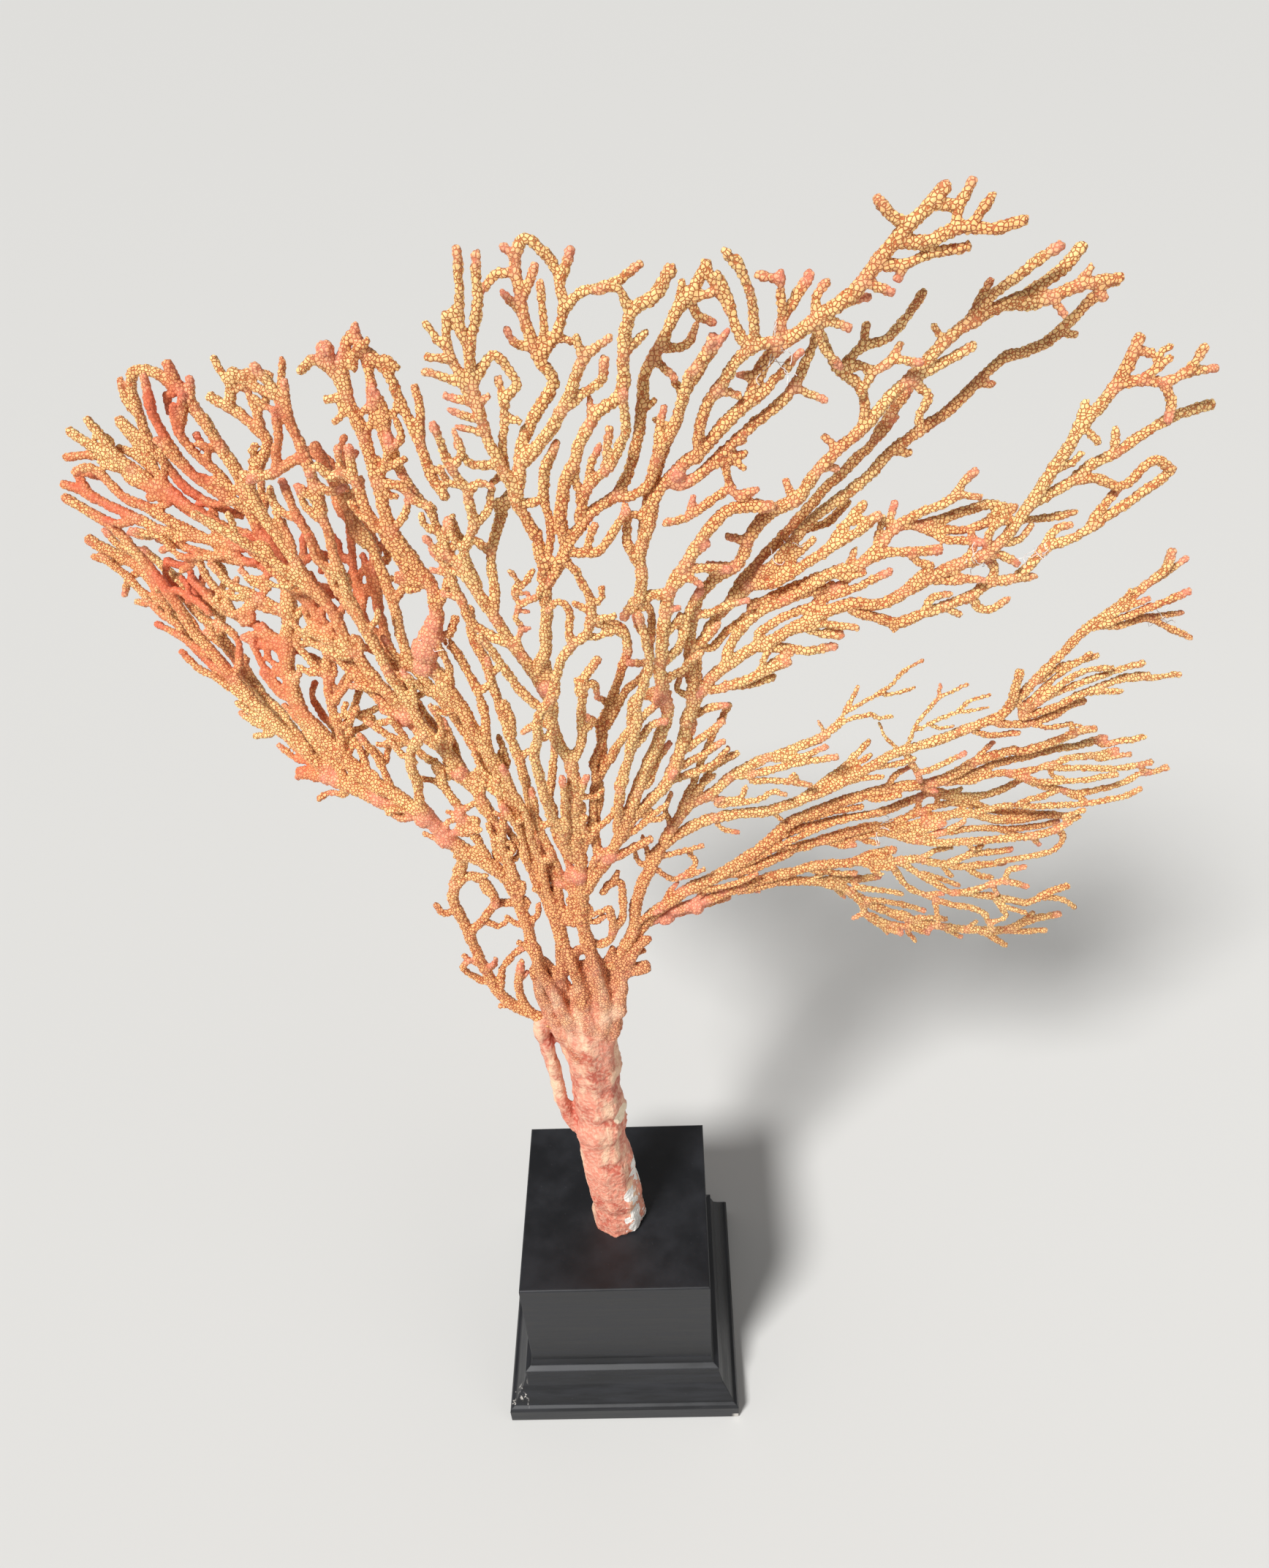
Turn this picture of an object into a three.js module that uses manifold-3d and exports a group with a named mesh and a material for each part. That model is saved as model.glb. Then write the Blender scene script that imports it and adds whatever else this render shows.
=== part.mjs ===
// A dried sea fan standing on a square, moulded wooden plinth.
//
// Millimetres, +Z up, the front of the fan towards -Y. The origin is the middle of the plinth's underside.
// The fan is one branching colony, parted at its main forks: a trunk, and the limbs that fork from it and
// from each other. Every limb fuses its own branches into one solid.
//
// A branch is drawn as a route on the fan's upright face: [across, up] in millimetres, from root to tip.
// A real fan isn't flat, so each limb also leans off that face. It leans along the lines that spread from one
// viewing point in front of the fan, so the face keeps its drawing while the wings curl back.

import * as THREE from "three";
import { mergeVertices } from "three/addons/utils/BufferGeometryUtils.js";
import Module from "manifold-3d";

const wasm = await Module();
wasm.setup();

// Plinth: a block over a stepped moulding over a slab, all square.
const BLOCK_HALF = 38;
const SLAB_HALF = 49.2;
const SLAB_TOP = 10.4;
const BLOCK_BOTTOM = 32.5;
const PLINTH_TOP = 89;
const FILLET_HALF = 41.2;
const OGEE_HALF = 46.6;

// Trunk and limbs.
const GAP = 0.3;
const FACE_Y = -4;
const VIEWPOINT = new THREE.Vector3(29, -282.5, 547);
const STOUT = 4.1;
const STOUT_SIDES = 5;
const LIMB_SIDES = 4;
const TWIG = 1.9;
const TWIG_SIDES = 3;
const TRUNK_SIDES = 12;
const TIP_ROUND = 0.7;
const SPREAD = [0, 0.16, -0.16, 0.08, -0.08];

const CORAL = new THREE.MeshStandardMaterial({ color: 0xdf9a62, roughness: 0.85, metalness: 0 });
const TRUNK_PINK = new THREE.MeshStandardMaterial({ color: 0xd98a72, roughness: 0.85, metalness: 0 });
const BLACK_PAINT = new THREE.MeshStandardMaterial({ color: 0x16171a, roughness: 0.45, metalness: 0 });

// A branch: the radius at its root, the radius at its tip, and its route. A third number is the radius there.
const branch = (root, tip, route) => ({ root, tip, route });

// A limb: its name, the limb it forks from, how far it leans back per millimetre from its root (negative is
// forward), and its branches, the first of which carries the others.
const limb = (name, parent, lean, branches) => ({ name, parent, lean, branches });

const TRUNK = limb("trunk", null, 0, [
  branch(12.8, 6, [[2.5, 87.5, 12.8], [0.5, 112, 11.6], [-2.5, 145, 11.8], [-4, 175, 12.2], [-4, 200, 12.4],
    [-4, 219, 10.5], [-4, 236, 6]]),
  branch(3.4, 3.0, [[-11, 160], [-16, 186], [-18, 206], [-18, 224], [-17.5, 244]]),
  branch(8.0, 4.0, [[-7, 190], [-10, 218], [-9, 240], [-8.6, 254]]),
  branch(7.5, 3.8, [[-1, 190], [-1, 226], [-1, 250]]),
  branch(8.0, 4.6, [[0, 190], [4.5, 220], [8, 242]]),
  branch(3.4, 3.0, [[7, 233], [17.5, 239]]),
]);

const LIMBS = [
  limb("left_loop", "trunk", 0.1, [
    branch(3.4, 2.8, [[-16, 211], [-26, 220], [-33, 229], [-36, 242], [-39, 257], [-42, 270], [-39, 280]]),
    branch(2.0, 1.8, [[-32, 228], [-30, 240], [-23, 248]]),
    branch(2.0, 1.6, [[-35, 235], [-41, 237], [-43, 242], [-41, 245]]),
    branch(2.4, 2.2, [[-39, 258], [-33, 266], [-26, 272]]),
    branch(2.6, 2.4, [[-42, 273], [-36, 275], [-31, 279]]),
    branch(2.6, 2.2, [[-22, 217], [-25, 228], [-24, 240]]),
  ]),
  limb("wing_stem", "trunk", 0.12, [
    branch(3.4, 4.6, [[-17.5, 244], [-19, 262], [-23, 280], [-30, 291], [-39, 299], [-47, 312]]),
    branch(3.0, 3.0, [[-39, 299], [-37, 290], [-41, 281]]),
    branch(2.6, 2.2, [[-43, 305], [-46, 320], [-46, 332], [-42, 340]]),
    branch(2.2, 2.0, [[-29, 291], [-35, 311], [-40, 330]]),
  ]),
  limb("wing_edge", "wing_stem", 0.6, [
    branch(4.8, 3.2, [[-46, 311], [-53, 312], [-61, 317], [-70, 324], [-79, 328]]),
    branch(3.4, 2.2, [[-70, 324], [-80, 334], [-86, 345], [-91, 356], [-97, 367], [-102, 377], [-104, 389],
      [-110, 399], [-116.5, 405]]),
    branch(3.4, 2.2, [[-64, 320], [-74, 335], [-82, 348], [-89, 361], [-96, 375], [-101, 389], [-105, 400],
      [-111, 411], [-119, 417.5]]),
    branch(3.2, 2.0, [[-60, 318], [-70, 336], [-79, 353], [-86, 368], [-93, 383], [-99, 395]]),
    branch(2.4, 2.0, [[-55, 314], [-64, 330], [-72, 346], [-79, 362], [-83, 374]]),
  ]),
  limb("wing_middle", "wing_stem", 0.42, [
    branch(4.6, 3.0, [[-48, 312], [-57, 321], [-65, 332], [-71, 343], [-75, 355], [-74, 368], [-70, 382],
      [-69, 394], [-73, 407]]),
    branch(2.2, 1.8, [[-73, 371], [-80, 378], [-87, 383], [-94, 393]]),
    branch(2.2, 1.9, [[-66, 333], [-64, 350], [-63, 371]]),
    branch(2.6, 1.8, [[-71, 401], [-80, 402], [-90, 406], [-100, 411], [-110, 416], [-118, 421]]),
    branch(2.2, 1.7, [[-88, 405], [-96, 411], [-105, 418], [-110, 425], [-114, 424]]),
    branch(2.6, 1.9, [[-76, 402], [-86, 411], [-94, 419], [-103, 427], [-112, 434]]),
    branch(3.0, 2.2, [[-79, 405], [-88, 415], [-94, 426], [-99, 436]]),
    branch(2.2, 1.8, [[-100, 424], [-104, 431], [-107, 436.5]]),
  ]),
  limb("wing_crest", "wing_middle", 0.25, [
    branch(3.0, 2.0, [[-73, 406], [-75, 417], [-77, 426], [-81, 436], [-84, 449]]),
    branch(2.2, 1.8, [[-84, 444], [-92, 448.5], [-95, 438], [-91, 422], [-77, 411]]),
    branch(2.2, 1.8, [[-76, 413], [-84, 421], [-89, 430], [-91, 443]]),
    branch(1.9, 1.8, [[-81, 438], [-79, 445]]),
  ]),
  limb("wing_inner", "wing_stem", 0.2, [
    branch(3.2, 2.4, [[-22, 284], [-24, 302], [-34, 330], [-49, 356], [-56, 370], [-66, 398], [-73, 421]]),
    branch(2.4, 1.9, [[-72, 420], [-66, 428], [-69, 435], [-76, 441]]),
    branch(2.0, 1.8, [[-73, 438], [-70, 447], [-61, 440]]),
    branch(2.6, 1.9, [[-34, 330], [-52, 353], [-61, 369], [-66, 394]]),
    branch(2.6, 1.9, [[-31, 321], [-43, 348], [-52, 377], [-56, 408], [-57, 424], [-64, 447.5]]),
    branch(2.0, 1.8, [[-57, 426], [-64, 422], [-72, 420]]),
    branch(2.4, 1.8, [[-25, 306], [-32, 328], [-41, 350], [-46, 365], [-47, 382]]),
  ]),
  limb("shoulder", "trunk", 0.1, [
    branch(4.4, 2.4, [[-8.6, 253], [-13, 286], [-20, 318], [-30, 350], [-37, 366], [-31, 375], [-32, 388],
      [-36, 399], [-40, 414], [-43, 433], [-47, 450]]),
    branch(2.6, 2.2, [[-16, 302], [-22, 320], [-28, 337], [-35, 353], [-42, 368], [-43, 384], [-45, 399],
      [-50, 413], [-54, 428]]),
    branch(1.9, 1.8, [[-46, 446], [-53, 448]]),
    branch(2.2, 1.8, [[-44, 440], [-44, 448], [-39, 454], [-38, 447], [-38, 433], [-34, 419], [-29, 410]]),
    branch(2.2, 2.0, [[-38, 450], [-33, 445], [-31, 434], [-29, 423], [-25, 415]]),
    branch(2.4, 1.9, [[-36, 390], [-41, 401], [-45, 413], [-46, 427]]),
  ]),
  limb("centre", "trunk", -0.03, [
    branch(4.0, 2.6, [[-1, 249], [-1, 281], [0, 326], [-4, 340], [-4, 351], [-7, 359], [-4, 374], [-3, 402]]),
    branch(2.6, 2.2, [[-5, 262], [-9, 290], [-14, 330], [-19, 364], [-23, 380]]),
    branch(2.8, 2.2, [[-2, 290], [-6, 306], [-9, 322], [-10, 338], [-9, 348], [-4, 350]]),
    branch(2.4, 2.0, [[0, 328], [4, 340], [5, 353], [10, 363]]),
    branch(2.4, 1.8, [[-3, 353], [0, 362], [7, 371], [9, 382], [7, 393]]),
  ]),
  limb("crown_left", "centre", 0.02, [
    branch(2.8, 2.0, [[-7, 358], [-12, 368], [-17, 378], [-20, 389], [-24, 398], [-25, 407]]),
    branch(2.2, 2.0, [[-17, 378], [-16, 391], [-15, 403], [-9, 413]]),
    branch(2.2, 1.7, [[-20, 390], [-18, 403], [-19, 414], [-24, 422], [-25, 432]]),
    branch(2.2, 1.8, [[-13, 370], [-19, 373], [-24, 376], [-27, 386], [-30, 397]]),
  ]),
  limb("crown_tip", "centre", -0.06, [
    branch(2.6, 1.8, [[-3, 401], [-7, 413], [-12, 424], [-15, 438], [-14, 452], [-11, 461], [-10, 470]]),
    branch(2.6, 1.7, [[-7, 413], [-4, 426], [3, 442], [-1, 456], [0, 473.5], [8, 463]]),
    branch(3.0, 2.2, [[-5, 421], [5, 431], [9, 441], [13, 449]]),
    branch(1.9, 1.7, [[2, 447], [6, 453], [8, 463], [11, 470]]),
    branch(1.9, 1.7, [[-14, 452], [-16, 460], [-13, 471]]),
    branch(2.0, 1.7, [[-15, 437], [-18, 449], [-18, 457]]),
    branch(1.8, 1.7, [[-14, 441], [-9, 448.5], [-4, 442], [-8, 434], [-9, 419]]),
    branch(1.8, 1.6, [[8, 457], [13, 461], [20, 463], [26, 466.5]]),
  ]),
  limb("crown_right", "centre", -0.09, [
    branch(2.6, 2.4, [[-3, 386], [4, 397], [6, 409], [8, 422], [13, 435], [20, 440], [21, 453], [32, 465]]),
    branch(2.4, 2.2, [[5, 399], [12, 408], [20, 417], [24, 429], [25, 438], [30, 449], [33, 459], [41, 466]]),
    branch(1.9, 1.8, [[8, 410], [14, 418], [20, 427], [21, 438]]),
    branch(1.9, 1.7, [[-3, 391], [1, 403], [0, 414], [5, 425.5]]),
  ]),
  limb("right_stem", "centre", -0.03, [
    branch(3.6, 2.6, [[0, 276], [8, 288], [13, 300], [22, 327], [28, 347], [27, 360],
      [31, 385], [38, 399], [47, 408], [56, 408]]),
    branch(2.4, 2.0, [[5, 283], [5, 300], [9, 332], [9, 342], [18, 365], [18, 373], [10, 376]]),
    branch(2.4, 1.8, [[12, 301], [13, 318], [17, 334], [20, 350], [24, 362], [23, 376]]),
    branch(2.2, 2.2, [[31, 384], [24, 382], [18, 377]]),
  ]),
  limb("crest_right", "right_stem", -0.05, [
    branch(2.6, 2.8, [[22, 381], [23, 394], [38, 421], [49, 432], [56, 446], [80, 466], [91, 479.5]]),
    branch(2.4, 2.2, [[24, 398], [25, 411], [30, 424], [36, 437], [43, 450]]),
    branch(2.2, 2.0, [[38, 421], [39, 431], [45, 440], [50, 448], [57, 448]]),
    branch(2.4, 1.8, [[33, 414], [44, 422], [56, 432], [63, 441], [67, 454]]),
    branch(2.4, 2.0, [[82, 469], [92, 470], [108, 472]]),
    branch(1.9, 1.7, [[79, 464], [97, 467]]),
    branch(2.2, 1.9, [[57, 447], [56, 456], [63, 463]]),
    branch(1.8, 1.6, [[51, 448], [51, 457], [45, 469]]),
    branch(1.8, 1.6, [[50, 448], [46, 455], [41, 465]]),
    branch(2.0, 1.7, [[84, 472], [77, 477.5]]),
  ]),
  limb("reach_upper", "right_stem", 0.05, [
    branch(3.0, 2.4, [[13, 300], [27, 318], [34, 340], [38, 352], [45, 360], [54, 366],
      [77, 378], [87, 378], [100, 387], [111, 392], [119, 403], [126, 416], [139, 444]]),
    branch(2.2, 2.0, [[120, 405], [131, 412], [141, 420], [149, 426], [159, 429]]),
    branch(2.0, 1.8, [[135, 434], [147, 435], [154, 442]]),
    branch(1.9, 1.8, [[131, 411], [142, 409], [149, 416], [154, 412.5]]),
    branch(1.9, 1.8, [[147, 435], [149, 426]]),
    branch(2.4, 2.0, [[45, 360], [48, 371], [60, 380], [73, 387], [84, 392], [99, 393]]),
    branch(2.2, 1.8, [[80, 390], [88, 400], [101, 402], [117, 404.5]]),
    branch(1.9, 1.7, [[88, 401], [99, 407], [106, 414]]),
    branch(2.2, 1.9, [[54, 366], [64, 366], [74, 366]]),
    branch(2.2, 2.0, [[38, 353], [48, 355], [62, 361]]),
  ]),
  limb("reach_lower", "reach_upper", 0.1, [
    branch(2.4, 1.9, [[78, 377], [91, 373], [106, 379], [120, 385], [127, 394], [141, 400], [153, 412]]),
    branch(1.9, 1.8, [[137, 399], [142, 409]]),
    branch(1.8, 1.7, [[109, 380], [114, 375], [119, 378]]),
    branch(2.0, 1.8, [[114, 384], [115, 391]]),
  ]),
  limb("long_upper", "reach_upper", 0.02, [
    branch(3.0, 2.2, [[34, 341], [35, 371], [40, 385], [57, 407], [77, 425], [89, 440], [101, 451],
      [131, 459]]),
    branch(2.4, 2.2, [[101, 451], [111, 458], [121, 466]]),
    branch(2.0, 1.8, [[101, 451], [104, 457], [117, 467]]),
    branch(2.0, 1.9, [[88, 438], [101, 445]]),
    branch(1.9, 1.7, [[77, 425], [77, 436], [70, 442], [66, 450]]),
    branch(1.8, 1.6, [[71, 441], [83, 449], [88, 457]]),
  ]),
  limb("long_lower", "reach_upper", 0.12, [
    branch(2.6, 1.9, [[37, 350], [38, 368], [51, 385], [63, 399], [85, 421], [96, 432], [120, 448],
      [128, 456]]),
    branch(2.2, 1.9, [[44, 377], [55, 395], [77, 419], [89, 438]]),
    branch(2.2, 2.1, [[51, 385], [62, 386], [71, 394], [83, 403]]),
    branch(1.9, 1.9, [[70, 393], [79, 406.5]]),
  ]),
  limb("low_upper", "trunk", 0.08, [
    branch(4.2, 2.6, [[7, 241], [14, 256], [22, 289], [33, 309], [50, 325], [74, 335]]),
    branch(1.9, 1.5, [[73, 335], [79, 344], [82, 351.5]]),
    branch(1.6, 1.3, [[79, 343], [89, 351], [99, 359.5]]),
    branch(1.9, 1.6, [[75, 336], [84, 341], [92, 341]]),
    branch(2.2, 1.9, [[46, 321], [57, 322], [67, 327], [77, 327]]),
    branch(2.2, 1.9, [[31, 306], [36, 320], [40, 333], [46, 347]]),
    branch(2.0, 1.8, [[37, 313], [40, 324], [48, 329]]),
  ]),
  limb("low_long", "low_upper", 0.13, [
    branch(3.4, 2.2, [[23, 291], [35, 303], [51, 307], [80, 317], [94, 327], [124, 338],
      [133, 352], [141, 367], [159, 390]]),
    branch(2.2, 1.9, [[68, 312], [78, 321], [86, 332]]),
    branch(2.4, 2.4, [[122, 338], [126, 354]]),
    branch(1.9, 1.7, [[129, 343], [136, 352], [144, 359.5]]),
    branch(2.0, 1.8, [[129, 341], [140, 349], [159, 356]]),
    branch(2.0, 1.6, [[129, 339], [142, 345], [159, 350], [170, 352]]),
    branch(2.2, 2.0, [[123, 337], [134, 338], [145, 344]]),
    branch(2.0, 1.9, [[142, 368], [155, 374], [166, 378]]),
    branch(2.0, 1.7, [[143, 369], [156, 371], [170, 364]]),
    branch(1.6, 1.3, [[97, 328], [100, 337], [104, 346], [112, 351]]),
    branch(1.4, 1.1, [[100, 336], [110, 341], [119, 347]]),
  ]),
  limb("low_fan", "trunk", 0.17, [
    branch(4.4, 2.0, [[8, 241], [19, 262], [31, 275], [46, 283], [57, 293], [65, 303], [82, 310], [112, 320],
      [150, 334]]),
    branch(2.4, 2.2, [[113, 320], [130, 323], [147, 327], [165, 331]]),
    branch(2.2, 1.9, [[105, 317], [124, 316], [143, 320], [170, 321]]),
    branch(2.6, 2.0, [[58, 294], [69, 300], [95, 306], [106, 313], [120, 312], [132, 316], [160, 317]]),
    branch(2.2, 2.0, [[119, 312], [134, 310], [146, 312], [160, 313], [174, 318]]),
    branch(2.2, 2.0, [[132, 310], [139, 305.5], [150, 306], [167, 310]]),
  ]),
  limb("low_middle", "low_fan", 0.24, [
    branch(3.4, 2.4, [[43, 281], [56, 285], [68, 292], [84, 298], [114, 298], [130, 301], [151, 300]]),
    branch(2.2, 2.0, [[93, 299], [104, 304], [117, 307], [128, 303], [140, 302]]),
    branch(2.4, 2.2, [[92, 298], [104, 293], [120, 293], [136, 295], [148, 299]]),
    branch(1.9, 1.7, [[146, 297], [149, 290], [144, 286], [130, 283]]),
  ]),
  limb("low_lower", "trunk", 0.22, [
    branch(4.0, 2.0, [[10, 242], [19, 259], [31, 265], [58, 278], [90, 285], [106, 286], [132, 282]]),
    branch(2.4, 2.2, [[84, 284], [97, 289.5]]),
    branch(2.0, 1.9, [[99, 285], [108, 277], [118, 270], [134, 275], [141, 272]]),
    branch(2.2, 2.0, [[118, 270], [131, 268], [144, 265], [153, 271]]),
    branch(2.0, 1.9, [[97, 284], [104, 272], [116, 265], [130, 261], [134, 253]]),
    branch(2.0, 1.9, [[115, 284], [124, 289], [133, 288]]),
  ]),
  limb("low_bottom", "low_lower", 0.3, [
    branch(3.0, 2.3, [[50, 274], [65, 277], [81, 275], [104, 260], [116, 255], [138, 252], [153, 259]]),
    branch(2.4, 2.1, [[70, 277], [93, 278.5]]),
    branch(2.2, 1.8, [[85, 273], [91, 264], [97, 257], [103, 252]]),
    branch(2.0, 1.9, [[92, 261], [104, 256], [112, 252]]),
    branch(2.0, 1.9, [[129, 252], [138, 245]]),
    branch(1.9, 1.8, [[137, 252], [150, 252]]),
  ]),
];

// The face of the fan in space: [across, up], carried back by `depth` along the line from the viewing point.
function place([across, up], depth) {
  const share = (FACE_Y + depth - VIEWPOINT.y) / (FACE_Y - VIEWPOINT.y);
  const onFace = new THREE.Vector3(across, FACE_Y, up);
  return { point: onFace.sub(VIEWPOINT).multiplyScalar(share).add(VIEWPOINT), share };
}

const distance = (a, b) => Math.hypot(a[0] - b[0], a[1] - b[1]);

// How far back a limb's sheet lies at a point of the face: it starts where its parent's sheet is at its root.
function depthAt(which, at) {
  if (!which.parent) return 0;
  const root = which.branches[0].route[0];
  return depthAt(limbNamed(which.parent), root) + which.lean * distance(root, at);
}

const limbNamed = (name) => [TRUNK, ...LIMBS].find((each) => each.name === name);

// How far a branch stands out of its limb's sheet: none for the first, and for each other what the branch
// that carries it has at its root, and more from there, so that neighbours run side by side.
function outOfSheet(which, number, at) {
  if (number === 0 || which === TRUNK) return 0;
  const root = which.branches[number].route[0];
  const reach = (carrier) => Math.min(...carrier.route.map((each) => distance(each, root)));
  const earlier = which.branches.slice(0, number).map(reach);
  const carried = outOfSheet(which, earlier.indexOf(Math.min(...earlier)), root);
  return carried + SPREAD[number % SPREAD.length] * distance(root, at);
}

// A closed tube: a capped cylinder whose rings are moved on to the route. `grow` widens and lengthens it.
function tube(which, number, sides, grow) {
  const { root, tip, route } = which.branches[number];
  const rings = route.map((at, i) => {
    const { point, share } = place(at, depthAt(which, at) + outOfSheet(which, number, at));
    const along = i / (route.length - 1);
    return { point, radius: (at[2] ?? root + (tip - root) * along) * share + grow };
  });
  const last = rings.length - 1;
  const frames = rings.map(({ point }, i) => {
    const before = rings[Math.max(i - 1, 0)].point;
    const after = rings[Math.min(i + 1, last)].point;
    const ahead = after.clone().sub(before).normalize();
    const side = ahead.clone().cross(new THREE.Vector3(0, 1, 0)).normalize();
    const stretch = i === 0 ? -grow : i === last ? grow : 0;
    const out = side.clone().cross(ahead);
    return { centre: point.clone().addScaledVector(ahead, stretch), ahead, side, out };
  });
  const geometry = new THREE.CylinderGeometry(1, 1, 1, sides, last);
  const position = geometry.getAttribute("position");
  for (let v = 0; v < position.count; v++) {
    const ring = Math.round((position.getY(v) + 0.5) * last);
    const { centre, ahead, side, out } = frames[ring];
    const isTip = ring === last && Math.hypot(position.getX(v), position.getZ(v)) < 0.5;
    const moved = centre.clone()
      .addScaledVector(side, position.getX(v) * rings[ring].radius)
      .addScaledVector(out, position.getZ(v) * rings[ring].radius)
      .addScaledVector(ahead, isTip ? TIP_ROUND * rings[ring].radius : 0);
    position.setXYZ(v, moved.x, moved.y, moved.z);
  }
  return geometry;
}

// A closed three.js geometry as a solid that can be joined and cut.
function solid(geometry) {
  const bare = geometry.clone();
  bare.deleteAttribute("normal");
  bare.deleteAttribute("uv");
  const merged = mergeVertices(bare, 1e-3);
  return new wasm.Manifold(new wasm.Mesh({
    numProp: 3,
    vertProperties: merged.getAttribute("position").array,
    triVerts: new Uint32Array(merged.index.array),
  }));
}

// A solid as a named mesh.
function mesh(name, body, material) {
  const { numProp, vertProperties, triVerts } = body.getMesh();
  const points = new Float32Array((vertProperties.length / numProp) * 3);
  for (let v = 0; v < points.length / 3; v++) {
    points.set(vertProperties.subarray(v * numProp, v * numProp + 3), v * 3);
  }
  const geometry = new THREE.BufferGeometry();
  geometry.setAttribute("position", new THREE.BufferAttribute(points, 3));
  geometry.setIndex(new THREE.BufferAttribute(triVerts, 1));
  geometry.computeVertexNormals();
  const made = new THREE.Mesh(geometry, material);
  made.name = name;
  return made;
}

function sidesOf(which, number) {
  if (which === TRUNK && number === 0) return TRUNK_SIDES;
  const { root } = which.branches[number];
  if (root > STOUT) return STOUT_SIDES;
  return root > TWIG ? LIMB_SIDES : TWIG_SIDES;
}

// All the tubes of a limb in one solid.
function fuse(which, grow = 0) {
  return which.branches
    .map((_, i) => solid(tube(which, i, sidesOf(which, i), grow)))
    .reduce((joined, next) => joined.add(next));
}

// The largest of the bodies that a cut leaves.
function largest(body) {
  return body.decompose().reduce((most, next) => (next.volume() > most.volume() ? next : most));
}

// The plinth's outline, turned through four sides: a lathe of four segments is square, and its points reach
// the corners, so each half width is stretched to the half diagonal.
function plinth() {
  const outline = [
    [0, 0], [SLAB_HALF - 0.8, 0], [SLAB_HALF, 0.8], [SLAB_HALF, SLAB_TOP - 2],
    [SLAB_HALF - 0.7, SLAB_TOP - 0.6], [SLAB_HALF - 2, SLAB_TOP], [OGEE_HALF, SLAB_TOP + 1.4],
    [OGEE_HALF - 1.4, 15], [FILLET_HALF + 1.6, 19.5], [FILLET_HALF + 0.4, 24], [FILLET_HALF, 25.2],
    [FILLET_HALF, 28.2], [BLOCK_HALF + 1, 29.4], [BLOCK_HALF, BLOCK_BOTTOM],
    [BLOCK_HALF, PLINTH_TOP - 0.5], [BLOCK_HALF - 0.5, PLINTH_TOP], [0, PLINTH_TOP],
  ];
  const corners = outline.map(([half, height]) => new THREE.Vector2(half * Math.SQRT2, height));
  const turned = new THREE.LatheGeometry(corners, 4, Math.PI / 4);
  turned.rotateX(Math.PI / 2);
  return turned;
}

const group = new THREE.Group();
const base = solid(plinth());
group.add(mesh("plinth", base, BLACK_PAINT));

const trunkFloor = solid(new THREE.BoxGeometry(60, 60, 60).translate(0, 0, PLINTH_TOP + GAP - 30));
group.add(mesh("trunk", fuse(TRUNK).subtract(trunkFloor), TRUNK_PINK));

let taken = [fuse(TRUNK, GAP)];
for (const each of LIMBS) {
  const free = taken.reduce((left, other) => left.subtract(other), fuse(each));
  group.add(mesh(each.name, largest(free), CORAL));
  taken = [...taken, fuse(each, GAP)];
}

export default group;
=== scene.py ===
# %% [markdown]
# # A sea fan on a painted plinth
# A sea fan is a soft coral: a horny skeleton that forks again and again, nearly in one plane, under a
# crust that is dotted with polyps. This one is dried, about 40 cm high, and stands in a square black
# plinth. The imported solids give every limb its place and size. Here each limb's plain solid is replaced
# by a mesh of the same limb with its twigs, knots and polyps, and the plinth's own solid stays and gets
# a paint.

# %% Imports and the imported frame
import math

import bmesh
import bpy
import numpy as np
from mathutils import Matrix, Vector, noise


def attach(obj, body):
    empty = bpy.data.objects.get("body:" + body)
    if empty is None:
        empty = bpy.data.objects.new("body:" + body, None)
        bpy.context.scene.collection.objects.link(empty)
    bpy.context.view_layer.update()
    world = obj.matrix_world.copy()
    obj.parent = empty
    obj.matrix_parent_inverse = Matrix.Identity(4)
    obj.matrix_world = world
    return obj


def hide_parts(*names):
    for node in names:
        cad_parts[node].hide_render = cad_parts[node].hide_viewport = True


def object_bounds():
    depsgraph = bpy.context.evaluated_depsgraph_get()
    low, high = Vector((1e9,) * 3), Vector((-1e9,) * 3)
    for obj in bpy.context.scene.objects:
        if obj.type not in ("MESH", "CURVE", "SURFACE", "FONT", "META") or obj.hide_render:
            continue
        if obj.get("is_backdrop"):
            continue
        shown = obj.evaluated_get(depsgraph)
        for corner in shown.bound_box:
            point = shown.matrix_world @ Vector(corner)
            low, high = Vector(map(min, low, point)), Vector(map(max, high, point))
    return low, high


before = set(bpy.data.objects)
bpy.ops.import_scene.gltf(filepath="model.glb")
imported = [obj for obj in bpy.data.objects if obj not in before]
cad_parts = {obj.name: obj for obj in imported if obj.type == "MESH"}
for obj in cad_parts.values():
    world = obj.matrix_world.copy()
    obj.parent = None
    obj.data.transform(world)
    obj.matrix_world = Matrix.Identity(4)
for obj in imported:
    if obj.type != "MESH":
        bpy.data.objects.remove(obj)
CAD_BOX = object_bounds()
MM = 0.001
print("packed size, mm:", [round((high - low) / MM) for low, high in zip(*CAD_BOX)])

# %% [markdown]
# ## The viewpoint
# The picture was taken with a phone held in front of the fan, above it, and tilted down by 39 degrees.
# A camera could be pointed with a Track To constraint, but its roll is then always zero, and this phone
# was held slightly crooked. So the camera's own three axes are worked out and put into its matrix.

# %% The camera
VIEWPOINT = np.array([29.0, -282.5, 547.0])
PITCH, YAW, ROLL = (math.radians(a) for a in (39.25, -2.22, -2.56))
FOCAL_PX = 1660.0
FRAME_HEIGHT_PX = 2145.0
SENSOR = 36.0


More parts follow.
